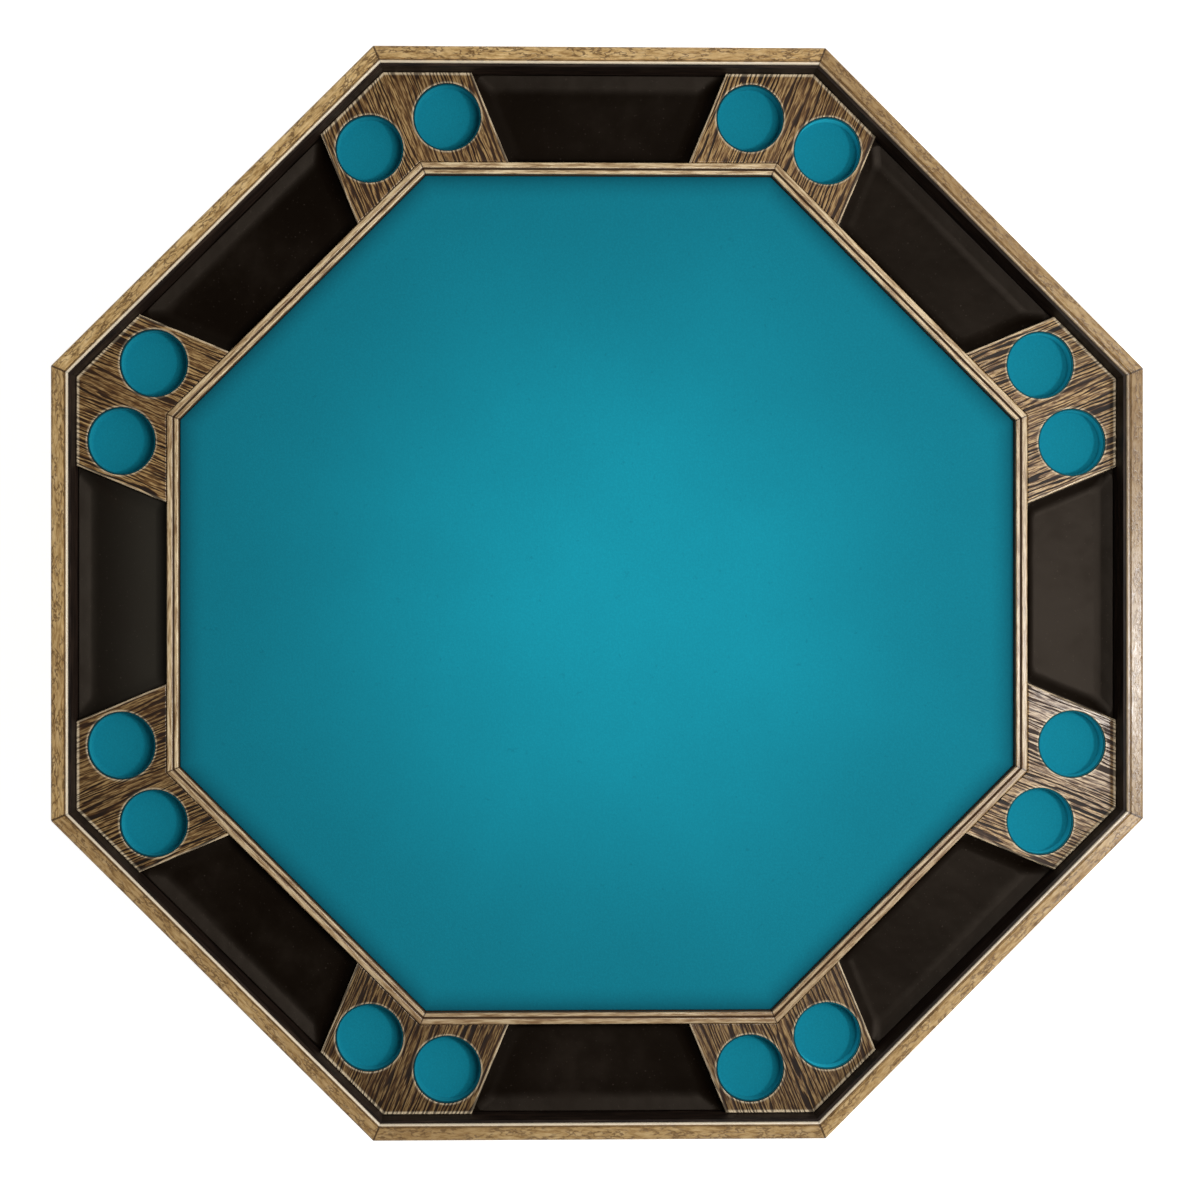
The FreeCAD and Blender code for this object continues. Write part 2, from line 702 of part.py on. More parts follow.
def bumper_spots():
    """Where the twelve bumpers stand: a cross of eight in the middle, and two beside each pocket."""
    spots = []
    for reach in ("bumper_inner", "bumper_outer"):
        spots += [(reach, "0"), (f"-{reach}", "0"), ("0", reach), ("0", f"-{reach}")]
    for x in ("bumper_aside", "-bumper_aside"):
        spots += [(x, "pocket_bumper_y"), (x, "-pocket_bumper_y")]
    return spots


def draw_at_bumpers(sketch, radius):
    """The same circle at each bumper."""
    for x, y in bumper_spots():
        draw_circle(sketch, x, y, radius)


def pad_at_bumpers(body, radius, base, height):
    """A round stage of each bumper."""
    stage = new_sketch(body, "XY_Plane", base)
    draw_at_bumpers(stage, radius)
    return pad(body, stage, height)


def draw_pockets(sketch, radius):
    """The same circle at both pockets."""
    draw_circle(sketch, "0", "pocket_y", radius)
    draw_circle(sketch, "0", "-pocket_y", radius)


def make_bed():
    """The bed board and its cloth, with holes for the pockets and the bumper screws."""
    for label, base, thick in (
        ("bed_board", "board_base", "bed_thick"),
        ("bed_cloth", "board_top", "bed_cloth_thick"),
    ):
        body = new_body(label)
        outline = new_sketch(body, "XY_Plane", base)
        draw_octagon(outline, "bed_out")
        pad(body, outline, thick)
        holes = new_sketch(body, "XY_Plane", base)
        draw_pockets(holes, "liner_r + liner_gap")
        draw_at_bumpers(holes, "screw_hole_r")
        pocket(body, holes, thick, backwards=True)


def make_bumpers():
    """Twelve bumpers: a plastic post, a rubber ring under its cap, and a wood screw down the middle."""
    posts = new_body("bumper_posts")
    top = "bed_top + bumper_height"
    pad_at_bumpers(posts, "bumper_foot_across / 2", "bed_top", "bumper_foot_height")
    waist = "bumper_height - bumper_foot_height - bumper_cap_height"
    pad_at_bumpers(posts, "bumper_waist_across / 2", "bed_top + bumper_foot_height", waist)
    pad_at_bumpers(posts, "bumper_cap_across / 2", f"{top} - bumper_cap_height", "bumper_cap_height")
    dress(posts, "Fillet", "bumper_cap_round", lambda m, e: near(m.z, top))
    sink = new_sketch(posts, "XY_Plane", top)
    draw_at_bumpers(sink, "screw_head_across / 2 + ring_gap")
    pocket(posts, sink, "screw_head_height + bumper_sink")
    bore = new_sketch(posts, "XY_Plane", top)
    draw_at_bumpers(bore, "screw_hole_r")
    pocket(posts, bore, "bumper_height")

    rings = new_body("bumper_rings")
    pad_at_bumpers(rings, "ring_across / 2", "ring_base", "ring_height")
    hollow = new_sketch(rings, "XY_Plane", "ring_base")
    draw_at_bumpers(hollow, "bumper_waist_across / 2 + ring_gap")
    pocket(rings, hollow, "ring_height", backwards=True)
    outer_length = math.pi * number("ring_across")
    dress(rings, "Fillet", "ring_round", lambda m, e: abs(e.Length - outer_length) < 0.1)

    screws = new_body("bumper_screws")
    head_base = f"{top} - screw_head_height - bumper_sink"
    pad_at_bumpers(screws, "screw_head_across / 2", head_base, "screw_head_height")
    shank = "bumper_height - screw_head_height - bumper_sink + bumper_screw_depth"
    pad_at_bumpers(screws, "screw_r", "bed_top - bumper_screw_depth", shank)


def make_pocket_liners():
    """Two flanged plastic sleeves in the bed."""
    body = new_body("pocket_liners")
    sleeve_base = "board_base - liner_tail"
    stages = (
        ("liner_r", sleeve_base, "bed_top - board_base + liner_tail"),
        ("liner_r + liner_flange", "bed_top", "liner_flange_thick"),
    )
    for radius, base, height in stages:
        outline = new_sketch(body, "XY_Plane", base)
        draw_pockets(outline, radius)
        pad(body, outline, height)
    way = new_sketch(body, "XY_Plane", sleeve_base)
    draw_pockets(way, "pocket_across / 2")
    pocket(body, way, "bed_depth + bed_thick", backwards=True)


def make_bed_beams():
    """Two long beams under the bed from end to end, and three short ones across the middle."""
    body = new_body("bed_beams")
    plan = new_sketch(body, "XY_Plane", "board_base - beam_height")
    inner = "beam_offset - beam_width / 2"
    outer = "beam_offset + beam_width / 2"
    half = "beam_width / 2"
    draw_box(plan, inner, "-apron_in", outer, "apron_in")
    draw_box(plan, f"-({outer})", "-apron_in", f"-({inner})", "apron_in")
    draw_box(plan, f"-({inner} - mitre_gap)", f"-{half}", f"{inner} - mitre_gap", half)
    draw_box(plan, f"{outer} + mitre_gap", f"-{half}", "apron_in", half)
    draw_box(plan, "-apron_in", f"-{half}", f"-({outer} + mitre_gap)", half)
    pad(body, plan, "beam_height")


def make_bed_ledgers():
    """Ledger strips on the six aprons without a ball opening, two to a side, that carry the bed's edge."""
    body = new_body("bed_ledgers", SIDE_ANGLE)
    plan = new_sketch(body, "XY_Plane", "board_base - ledger_height")
    inner_face = "apron_in - ledger_thick"
    draw_box(plan, "ledger_start", inner_face, "ledger_end", "apron_in")
    draw_box(plan, "-ledger_end", inner_face, "-ledger_start", "apron_in")
    pad(body, plan, "ledger_height")
    around(body, 3, 2 * SIDE_ANGLE)
    around(body, 2)


def make_ball_box(label, turn):
    """A plywood box under one pocket, with a floor that falls to the opening in the apron."""
    body = new_body(label, turn)
    back = "apron_in - box_length"
    side = new_sketch(body, "YZ_Plane")
    draw_polygon(side, box_profile(back, "box_base", "apron_in", "board_base"))
    pad(body, side, "box_width", both=True)
    hollow = new_sketch(body, "YZ_Plane")
    draw_polygon(
        hollow,
        [
            (f"{back} + box_wall", "box_base + box_wall + box_fall"),
            ("apron_in + box_wall", "box_base + box_wall"),
            ("apron_in + box_wall", "board_base + box_wall"),
            (f"{back} + box_wall", "board_base + box_wall"),
        ],
    )
    pocket(body, hollow, "box_width - 2 * box_wall", both=True)


def make_ball_box_felts():
    """The felt on the floor of both ball boxes."""
    body = new_body("ball_box_felts")
    side = new_sketch(body, "YZ_Plane")
    back = "apron_in - box_length + box_wall"
    low = "box_base + box_wall + box_fall * box_wall / box_length"
    high = "box_base + box_wall + box_fall"
    draw_polygon(
        side,
        [
            (back, high),
            ("apron_in", low),
            ("apron_in", f"{low} + box_felt_thick"),
            (back, f"{high} + box_felt_thick"),
        ],
    )
    pad(body, side, "box_width - 2 * box_wall - 2 * fit_gap", both=True)
    mirror(body, "XZ_Plane")


# ---------------------------------------------------------------- the legs


def draw_leg_section(sketch, width):
    """A leg's section below the cabinet: a square round the leg's axis with its four corners cut off."""
    half = f"({width}) / 2"
    short = f"({half} - leg_chamfer)"
    corners = [
        (short, f"-{half}"),
        (half, f"-{short}"),
        (half, short),
        (short, half),
        (f"-{short}", half),
        (f"-{half}", short),
        (f"-{half}", f"-{short}"),
        (f"-{short}", f"-{half}"),
    ]
    draw_polygon(sketch, [(x, f"leg_middle + ({y})") for x, y in corners])


def make_leg(number_of_leg, side):
    """A square oak leg: straight inside the cabinet, tapered below it, bolted behind its apron."""
    body = new_body(f"leg_{number_of_leg}", SIDE_ANGLE * side)
    head = new_sketch(body, "XY_Plane", "apron_base")
    half = "leg_width / 2"
    draw_box(head, f"-{half}", f"leg_middle - {half}", half, f"leg_middle + {half}")
    pad(body, head, "board_base - apron_base")
    upper = new_sketch(body, "XY_Plane", "apron_base")
    draw_leg_section(upper, "leg_width")
    lower = new_sketch(body, "XY_Plane", "foot_rise")
    draw_leg_section(lower, "foot_width")
    taper = body.newObject("PartDesign::AdditiveLoft", "Taper")
    taper.Profile = upper
    taper.Sections = [lower]
    taper.Ruled = True
    doc.recompute()
    cut_bolt_holes(body, "leg_middle", "leg_width")
    insert_hole = new_sketch(body, "XY_Plane", "foot_rise")
    draw_circle(insert_hole, "0", "leg_middle", "insert_r + nut_gap")
    pocket(body, insert_hole, "insert_length", backwards=True)
    stem_hole = new_sketch(body, "XY_Plane", "foot_rise")
    draw_circle(stem_hole, "0", "leg_middle", "stem_r + bolt_gap")
    pocket(body, stem_hole, "stem_travel_hole", backwards=True)


def make_leg_bolts():
    """Eight domed bolts through apron and leg, each with a washer and a nut on the leg's inner face."""
    body = new_body("leg_bolts", SIDE_ANGLE * LEG_SIDES[0])
    leg_face = "leg_middle - leg_width / 2"
    heights = [f"apron_base + bolt_low + {rise}" for rise in ("0", "bolt_pitch")]

    def stage(outer, length, draw):
        plane = new_sketch(body, "XZ_Plane", f"-({outer})")
        for z in heights:
            draw(plane, z)
        return pad(body, plane, length)

    shank_end = f"{leg_face} - washer_thick - nut_thick - bolt_end"
    stage(
        "cabinet_out",
        f"cabinet_out - ({shank_end})",
        lambda sketch, z: draw_circle(sketch, "0", z, "bolt_across / 2"),
    )
    stage(
        "cabinet_out + bolt_head_height",
        "bolt_head_height",
        lambda sketch, z: draw_circle(sketch, "0", z, "bolt_head_across / 2"),
    )
    crown = "cabinet_out + bolt_head_height"
    dress(body, "Fillet", "bolt_head_round", lambda m, e: near(m.y, crown))

    def washer(sketch, z):
        draw_circle(sketch, "0", z, "bolt_head_across / 2")
        draw_circle(sketch, "0", z, "bolt_across / 2 + nut_gap")

    def nut(sketch, z):
        draw_hexagon(sketch, "0", z, "nut_across")
        draw_circle(sketch, "0", z, "bolt_across / 2 + nut_gap")

    stage(leg_face, "washer_thick", washer)
    stage(f"{leg_face} - washer_thick - nut_gap", "nut_thick", nut)
    around(body, len(LEG_SIDES))


def make_leg_inserts():
    """Four flanged threaded inserts in the feet of the legs."""
    body = new_body("leg_inserts", SIDE_ANGLE * LEG_SIDES[0])
    flange = new_sketch(body, "XY_Plane", "foot_rise - insert_flange_thick")
    draw_circle(flange, "0", "leg_middle", "insert_flange_across / 2")
    pad(body, flange, "insert_flange_thick")
    barrel = new_sketch(body, "XY_Plane", "foot_rise")
    draw_circle(barrel, "0", "leg_middle", "insert_r")
    pad(body, barrel, "insert_length")
    thread = new_sketch(body, "XY_Plane", "foot_rise - insert_flange_thick")
    draw_circle(thread, "0", "leg_middle", "stem_r + nut_gap")
    pocket(body, thread, "insert_length + insert_flange_thick", backwards=True)
    around(body, len(LEG_SIDES))


def make_leveller(number_of_leg, side):
    """A leveller: a round foot on the floor, a hexagon to turn it by, and a threaded stem."""
    body = new_body(f"leveller_{number_of_leg}", SIDE_ANGLE * side)
    foot = new_sketch(body, "XY_Plane")
    draw_circle(foot, "0", "leg_middle", "glide_across / 2")
    pad(body, foot, "glide_height")
    dress(body, "Fillet", "glide_round", lambda m, e: near(m.z, "glide_height"))
    hexagon = new_sketch(body, "XY_Plane", "glide_height")
    draw_hexagon(hexagon, "0", "leg_middle", "hex_across")
    pad(body, hexagon, "hex_height")
    stem = new_sketch(body, "XY_Plane", "glide_height + hex_height")
    draw_circle(stem, "0", "leg_middle", "stem_r")
    pad(body, stem, "stem_length")


# ---------------------------------------------------------------- the whole table


def make_table():
    """Every sub-part of the table."""
    make_top_panel()
    for side in range(SIDES):
        make_outer_rail(side)
        make_corner_block(side)
        make_chip_tray(side)
    make_rail_lining()
    make_inner_moulding()
    make_field()
    make_cup_felts()
    make_top_rest_pads()
    make_block_screws()
    make_apron("end_aprons", 0, 2)
    make_apron("side_aprons", 2, 2)
    make_apron("leg_aprons", 1, 4)
    make_glue_blocks()
    make_top_rails()
    make_cushions()
    make_bed()
    make_bumpers()
    make_pocket_liners()
    make_bed_beams()
    make_bed_ledgers()
    make_ball_box("ball_box_back", 0.0)
    make_ball_box("ball_box_front", 180.0)
    make_ball_box_felts()
    for index, side in enumerate(LEG_SIDES, start=1):
        make_leg(index, side)
        make_leveller(index, side)
    make_leg_bolts()
    make_leg_inserts()


def check_and_write():
    """Stops on a failed object or a bad shape, then writes each sub-part to parts/LABEL.step."""
    doc.recompute()
    for item in doc.Objects:
        if "Invalid" in item.State or "Error" in item.State:
            raise RuntimeError(f"{item.Label} failed: {item.State}")
    bodies = [item for item in doc.Objects if item.TypeId == "PartDesign::Body"]
    for body in bodies:
        if body.Shape.isNull() or not body.Shape.isValid() or not body.Shape.Solids:
            raise RuntimeError(f"{body.Label} has no valid shape")
    os.makedirs("parts", exist_ok=True)
    for body in bodies:
        body.Shape.exportStep(f"parts/{body.Label}.step")
        count = len(body.Shape.Solids)
        print(f"{body.Label}: {count} solid(s), {body.Shape.Volume / 1000:.1f} cm3")


make_table()
check_and_write()
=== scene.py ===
# %% [markdown]
# # An eight-sided game table: a card top that lifts off a bumper pool bed
#
# The structure comes ready-made and fixed, as the frame: every board, bolt and joint is already in its place, in
# metres, with the middle of the table over the origin. This lesson gives those boards their finishes, and models
# afresh what the frame only roughs out: the moulded chip trays, the felts, the cushions and the cloths.

from math import atan2, cos, hypot, pi, radians, sin, tan

import bmesh
import bpy
from mathutils import Matrix, Vector


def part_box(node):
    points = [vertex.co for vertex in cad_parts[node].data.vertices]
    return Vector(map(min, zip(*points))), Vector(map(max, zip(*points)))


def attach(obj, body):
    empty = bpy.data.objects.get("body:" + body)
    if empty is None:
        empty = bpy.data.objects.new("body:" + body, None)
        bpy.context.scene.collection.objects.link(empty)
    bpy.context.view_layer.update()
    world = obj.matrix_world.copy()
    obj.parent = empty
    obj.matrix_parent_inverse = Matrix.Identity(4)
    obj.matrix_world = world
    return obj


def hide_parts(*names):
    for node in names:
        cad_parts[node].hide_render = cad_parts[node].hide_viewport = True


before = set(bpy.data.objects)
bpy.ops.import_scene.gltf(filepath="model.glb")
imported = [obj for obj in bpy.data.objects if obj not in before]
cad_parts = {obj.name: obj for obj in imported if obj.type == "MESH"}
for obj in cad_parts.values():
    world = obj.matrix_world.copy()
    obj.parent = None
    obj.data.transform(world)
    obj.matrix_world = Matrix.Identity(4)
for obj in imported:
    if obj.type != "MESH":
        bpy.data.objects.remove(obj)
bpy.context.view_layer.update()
scene = bpy.context.scene

# %% [markdown]
# ## Measure before making
#
# Every size below is read off the frame, so that a new piece always fits the board beside it. The table has eight
# sides, 45 degrees apart. Side 1 faces +Y, and a piece for another side is a copy turned about the Z axis. Distances
# called "reach" run from the table's middle, square to a side.

# %% Sizes read off the frame
SIDES = 8
STEP = 2 * pi / SIDES
HALF_STEP = STEP / 2

rail_low, rail_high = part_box("outer_rail_1")
rail_reach = rail_high.y
rail_inner_reach = rail_low.y
rail_top = rail_high.z
tray_low, tray_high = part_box("chip_tray_1")
moulding_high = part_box("inner_moulding")[1]
moulding_reach = moulding_high.y
moulding_top = moulding_high.z
field_low, field_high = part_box("playing_felt")
field_reach = field_high.y
block_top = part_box("corner_block_1")[1].z
print(f"card top {2 * rail_reach:.3f} m across, {rail_top:.3f} m high, felt {2 * field_reach:.3f} m across")

# %% [markdown]
# Some parts of the frame are groups, such as the sixteen cup linings. Their mesh is loose triangles, so a copy in
# memory is merged first, and then walked from vertex to vertex to find each separate piece and its box. A set of
# vertices has no fixed order, so the boxes are sorted at the end, anticlockwise from between -X and -Y. Each piece
# then gets the same number every time.


# %% Find the separate pieces of a group
FIRST_BEARING = radians(-140)


def islands(node):
    """The box of each separate solid of a part, as (lowest corner, highest corner), in metres."""
    shell = bmesh.new()
    shell.from_mesh(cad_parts[node].data)
    bmesh.ops.remove_doubles(shell, verts=shell.verts, dist=1e-5)
    left = set(shell.verts)
    found = []
    while left:
        front = [left.pop()]
        corners = []
        while front:
            vert = front.pop()
            corners.append(vert.co.copy())
            for edge in vert.link_edges:
                other = edge.other_vert(vert)
                if other in left:
                    left.remove(other)
                    front.append(other)
        low = Vector([min(c[axis] for c in corners) for axis in range(3)])
        high = Vector([max(c[axis] for c in corners) for axis in range(3)])
        found.append((low, high))
    shell.free()

    def round_the_table(box):
        spot = box[0] + box[1]
        return (atan2(spot.y, spot.x) - FIRST_BEARING) % (2 * pi)

    return sorted(found, key=round_the_table)


cup_boxes = islands("cup_felts")
cup_low, cup_high = cup_boxes[0]
cup_radius = (cup_high.x - cup_low.x) / 2
cup_middle = (cup_low + cup_high) / 2
cup_distance = hypot(cup_middle.x, cup_middle.y)
cup_bearing = atan2(cup_middle.y, cup_middle.x)
corner_bearing = HALF_STEP + STEP * round((cup_bearing - HALF_STEP) / STEP)
cup_along = cup_distance * cos(cup_bearing - corner_bearing)
cup_aside = abs(cup_distance * sin(cup_bearing - corner_bearing))
print(f"{len(cup_boxes)} cup wells, {2 * cup_radius * 1000:.1f} mm across, {2 * cup_aside * 1000:.1f} mm apart")

# %% [markdown]
# ## The camera
#
# The table is seen from straight above, about two metres over its rail. A camera that is a little left of the
# middle sees more of the rail's inner wall on the right than on the left. Turning it back towards the middle would
# squeeze one side of the octagon, so most of the aim comes from a small lens shift, as on a view camera, and only
# one degree comes from the turn.

# %% Camera
camera_height = 2.0
camera_left = 0.10
camera_turn = radians(1.0)
view_width = 1.336
middle_above_view = 0.0075

lens = bpy.data.cameras.new("Overhead_camera")
lens.sensor_width = 36.0
lens.lens = lens.sensor_width * camera_height / view_width
lens.clip_end = 60.0
turned_reach = camera_height * tan(camera_turn)
lens.shift_x = (camera_left - turned_reach) / view_width
lens.shift_y = -middle_above_view / view_width
camera = bpy.data.objects.new("Overhead_camera", lens)
camera.location = (-camera_left, 0, rail_top + camera_height)
camera.rotation_euler = (0, -camera_turn, 0)
scene.collection.objects.link(camera)
scene.camera = camera
print(f"lens {lens.lens:.1f} mm, shift {lens.shift_x:.3f}, {lens.shift_y:.3f}")

# %% [markdown]
# ## Shader helpers
#
# A finish is a tree of small nodes, and most of the typing goes into joining them. They could be drawn by hand in
# the shader editor, but a few short functions keep long trees readable. The first ones add a node and plug values
# or other nodes into it by socket name. Colours are given as a painter's 0 to 255 values.


# %% Helpers: colours and nodes
def paint(red, green, blue):
    """A colour from 0 to 255 screen values, as the linear values that shaders use."""

    def linear(value):
        share = value / 255
        return share / 12.92 if share <= 0.04045 else ((share + 0.055) / 1.055) ** 2.4

    return (linear(red), linear(green), linear(blue), 1.0)


def grey(level):
    """A grey from its linear value."""
    return (level, level, level, 1.0)


def feed(tree, socket, value):
    """Plugs a socket into a socket, or sets a socket's own value."""
    if isinstance(value, bpy.types.NodeSocket):
        tree.links.new(value, socket)
    else:
        socket.default_value = value


def add(tree, kind, feeds=None, **settings):
    """Adds a shader node, with its settings and what feeds its sockets."""
    made = tree.nodes.new("ShaderNode" + kind)
    for name, value in settings.items():
        setattr(made, name, value)
    for name, value in (feeds or {}).items():
        feed(tree, made.inputs[name], value)
    return made


def sums(tree, operation, *values):
    """The result of a Math node."""
    made = add(tree, "Math", operation=operation)
    for socket, value in zip(made.inputs, values):
        feed(tree, socket, value)
    return made.outputs[0]


def product(tree, first, *others):
    """Several values multiplied together."""
    for value in others:
        first = sums(tree, "MULTIPLY", first, value)
    return first


print("colour and node helpers ready")

# %% [markdown]
# Most masks are a distance turned into a soft step. Noise and colour ramps then break the mask up and give it its
# colours.


# %% Helpers: fades, mixes and noise
def fade(tree, value, start, end, low=0.0, high=1.0):
    """Goes smoothly from low to high as value goes from start to end."""
    made = add(tree, "MapRange", {"Value": value, "From Min": start, "From Max": end}, interpolation_type="SMOOTHSTEP")
    feed(tree, made.inputs["To Min"], low)
    feed(tree, made.inputs["To Max"], high)
    return made.outputs[0]


def climb(tree, value, start, end):
    """Goes evenly from 0 to 1 as value goes from start to end."""
    return add(tree, "MapRange", {"Value": value, "From Min": start, "From Max": end}).outputs[0]


def between(tree, value, start, end, soft_start, soft_end):
    """1 where value is between start and end, with a soft border inside each."""
    return product(tree, fade(tree, value, start, start + soft_start), fade(tree, value, end, end - soft_end))


def mix(tree, share, first, second, blend="MIX"):
    """A mix of two colours."""
    made = add(tree, "Mix", data_type="RGBA", blend_type=blend)
    feed(tree, made.inputs[0], share)
    feed(tree, made.inputs[6], first)
    feed(tree, made.inputs[7], second)
    return made.outputs[2]


def shades(tree, value, stops):
    """A colour ramp through (place, colour) stops."""
    made = add(tree, "ValToRGB", {"Fac": value})
    ramp = made.color_ramp
    while len(ramp.elements) < len(stops):
        ramp.elements.new(0.5)
    for element, (place, colour) in zip(ramp.elements, stops):
        element.position = place
        element.color = colour
    return made.outputs[0]


def paints(tree, value, *stops):
    """A colour ramp through painter's colours, each given as (place, red, green, blue)."""
    return shades(tree, value, [(place, paint(*colour)) for place, *colour in stops])


def grains(tree, vector, scale, detail=2.0, rough=0.5, w=0.0):
    """Soft noise, 0 to 1, with clumps about 1 / scale metres wide. w picks another patch of it."""
    made = add(tree, "TexNoise", noise_dimensions="4D")
    feeds = {"Vector": vector, "W": w, "Scale": scale, "Detail": detail, "Roughness": rough}
    for name, value in feeds.items():
        feed(tree, made.inputs[name], value)
    return made.outputs["Fac"]


def table_point(tree):
    """The point being coloured, in the table's own metres."""
    return add(tree, "TexCoord").outputs["Object"]


print("mask helpers ready")

# %% [markdown]
# An effect that several finishes share is a node group with named sockets, made once and placed in each. The
# shader itself stays in the material, with the bump that gives its surface some depth.


# %% Helpers: groups and materials
def new_group(name, inputs, outputs):
    """An empty node group with named sockets, as (group, its input node, its output node)."""
    group = bpy.data.node_groups.new(name, "ShaderNodeTree")
    for socket, kind, value in inputs:
        made = group.interface.new_socket(socket, in_out="INPUT", socket_type="NodeSocket" + kind)
        if value is not None:
            made.default_value = value
    for socket, kind in outputs:
        group.interface.new_socket(socket, in_out="OUTPUT", socket_type="NodeSocket" + kind)
    return group, group.nodes.new("NodeGroupInput"), group.nodes.new("NodeGroupOutput")


def give_out(group, result, outputs):
    """Plugs what a group has worked out into its output node, by name."""
    for name, value in outputs.items():
        feed(group, result.inputs[name], value)
    return group


def use(tree, group, feeds=None):
    """Places a node group in a tree."""
    made = add(tree, "Group", node_tree=group)
    for name, value in (feeds or {}).items():
        feed(tree, made.inputs[name], value)
    return made


def new_material(name, roughness=0.5, metallic=0.0):
    """A material with one Principled shader, as (material, tree, shader)."""
    made = bpy.data.materials.new(name)
    made.use_nodes = True
    tree = made.node_tree
    tree.nodes.clear()
    shader = add(tree, "BsdfPrincipled", {"Roughness": roughness, "Metallic": metallic})
    add(tree, "OutputMaterial", {"Surface": shader.outputs[0]})
    return made, tree, shader


def relief(tree, shader, height, depth):
    """Gives the shader a bump: height is 0 to 1, depth is how many metres that stands for."""
    made = add(tree, "Bump", {"Height": height, "Strength": 1.0, "Distance": depth})
    tree.links.new(made.outputs[0], shader.inputs["Normal"])


print("material helpers ready")

# %% [markdown]
# ## Knowing which board a point is on
#
# Wood grain has to run along each board, and the table's boards point in eight directions. Eight turned materials
# would do it. It is neater to let the material find out for itself: the bearing of a point from the middle says
# which side it is on, and turning the point back by that side's angle gives the same coordinates on every board: X
# outwards, Y along the board, Z up. Mitre joints then meet at the right angle by themselves. With a turn of half a
# step the same group serves the corner blocks, whose grain runs out along the corner.


# %% Node group: board coordinates
def make_board_coordinates():
    """Outputs a point's coordinates on its own board, and the board's number. Board 0 faces +X."""
    group, given, result = new_group(
        "Board_coordinates",
        [("Turn", "Float", 0.0)],
        [("On board", "Vector"), ("Out", "Float"), ("Along", "Float"), ("Up", "Float"), ("Board", "Float")],
    )
    point = table_point(group)
    turn = given.outputs["Turn"]
    parts = add(group, "SeparateXYZ", {"Vector": point})
    bearing = sums(group, "ARCTAN2", parts.outputs["Y"], parts.outputs["X"])
    steps = sums(group, "DIVIDE", sums(group, "SUBTRACT", bearing, turn), STEP)
    board = sums(group, "FLOORED_MODULO", sums(group, "ROUND", steps), float(SIDES))
    back = sums(group, "MULTIPLY_ADD", board, -STEP, product(group, turn, -1.0))
    turned = add(group, "VectorRotate", {"Vector": point, "Angle": back}, rotation_type="Z_AXIS").outputs[0]
    local = add(group, "SeparateXYZ", {"Vector": turned}).outputs
    places = {"On board": turned, "Out": local["X"], "Along": local["Y"], "Up": local["Z"], "Board": board}
    return give_out(group, result, places)


board_coordinates = make_board_coordinates()
print("board coordinates made")

# %% [markdown]
# Three masks come from these coordinates. Where two mitred boards meet, glaze and dust make a thin dark line: the
# gap to the mitre is the reach times the tangent of half a step, less how far along the board the point is. Wear,
# painted highlights and painted shade are found by the depth below a top face. And a board can be made darker or
# paler by the bearing that it faces.


# %% Masks by board
def mitre_line(tree, place, half_width=0.0007):
    """1 on the mitre line between two boards and 0 away from it."""
    to_mitre = product(tree, place.outputs["Out"], tan(HALF_STEP))
    gap = sums(tree, "SUBTRACT", to_mitre, sums(tree, "ABSOLUTE", place.outputs["Along"]))
    return fade(tree, gap, half_width, half_width * 2.2, 1.0, 0.0)


def near_top(tree, place, top, start, end, low=0.0, high=1.0):
    """Goes from low to high between two depths below a top face, both in metres."""
    return fade(tree, place.outputs["Up"], top - start, top - end, low, high)


def facing(tree, place, bearing=0.0):
    """1 on a board that faces the bearing, 0 on one that is square to it and -1 across the table from it."""
    return sums(tree, "COSINE", sums(tree, "MULTIPLY_ADD", place.outputs["Board"], STEP, -bearing))


print("board masks ready")

# %% [markdown]
# ## Oak
#
# Oak shows three things at once. Broad bands go from pale to dark over some centimetres, where the saw crossed the
# growth rings. Finer streaks run along the board. And its large pores are cut open as short dark dashes. All three
# are noise stretched along the board, at three scales, and a slow second noise pushes them aside so that no streak
# is quite straight. The group gives masks only, and each wood mixes its own colours from them.


# %% Node group: oak grain
def make_oak_grain():
    """Outputs the bands, streaks and pores of oak as masks, and a height for its bump."""
    group, given, result = new_group(
        "Oak_grain",
        [
            ("Point", "Vector", None),
            ("Board", "Float", 0.0),
            ("Streaks per metre", "Float", 200.0),
            ("Stretch", "Float", 14.0),
            ("Wander", "Float", 0.004),
        ],
        [("Bands", "Float"), ("Streaks", "Float"), ("Pores", "Float"), ("Height", "Float")],
    )
    point = given.outputs["Point"]
    board = given.outputs["Board"]
    scale = given.outputs["Streaks per metre"]
    drift = add(group, "TexNoise", {"Scale": 14.0, "Detail": 2.0}, noise_dimensions="4D")
    feed(group, drift.inputs["Vector"], point)
    feed(group, drift.inputs["W"], board)
    centred = add(group, "VectorMath", {0: drift.outputs["Color"], 1: (0.5, 0.5, 0.5)}, operation="SUBTRACT")
    pushed = add(group, "VectorMath", {0: centred.outputs[0], "Scale": given.outputs["Wander"]}, operation="SCALE")
    moved = add(group, "VectorMath", {0: point, 1: pushed.outputs[0]}, operation="ADD")
    squeeze = sums(group, "DIVIDE", 1.0, given.outputs["Stretch"])
    shape = add(group, "CombineXYZ", {"X": 1.0, "Y": squeeze, "Z": 1.0})
    drawn = add(group, "VectorMath", {0: moved.outputs[0], 1: shape.outputs[0]}, operation="MULTIPLY").outputs[0]
    bands = grains(group, drawn, product(group, scale, 0.09), 3.0, 0.55, board)
    streaks = grains(group, drawn, scale, 3.0, 0.62, sums(group, "ADD", board, 17.0))
    dashes = grains(group, drawn, product(group, scale, 2.3), 1.0, 0.5, sums(group, "ADD", board, 41.0))
    pores = fade(group, dashes, 0.57, 0.68)
    body = product(group, fade(group, streaks, 0.3, 0.7), 0.6)
    height = sums(group, "SUBTRACT", sums(group, "ADD", body, 0.4), product(group, pores, 0.4))
    return give_out(group, result, {"Bands": bands, "Streaks": streaks, "Pores": pores, "Height": height})


oak_grain = make_oak_grain()


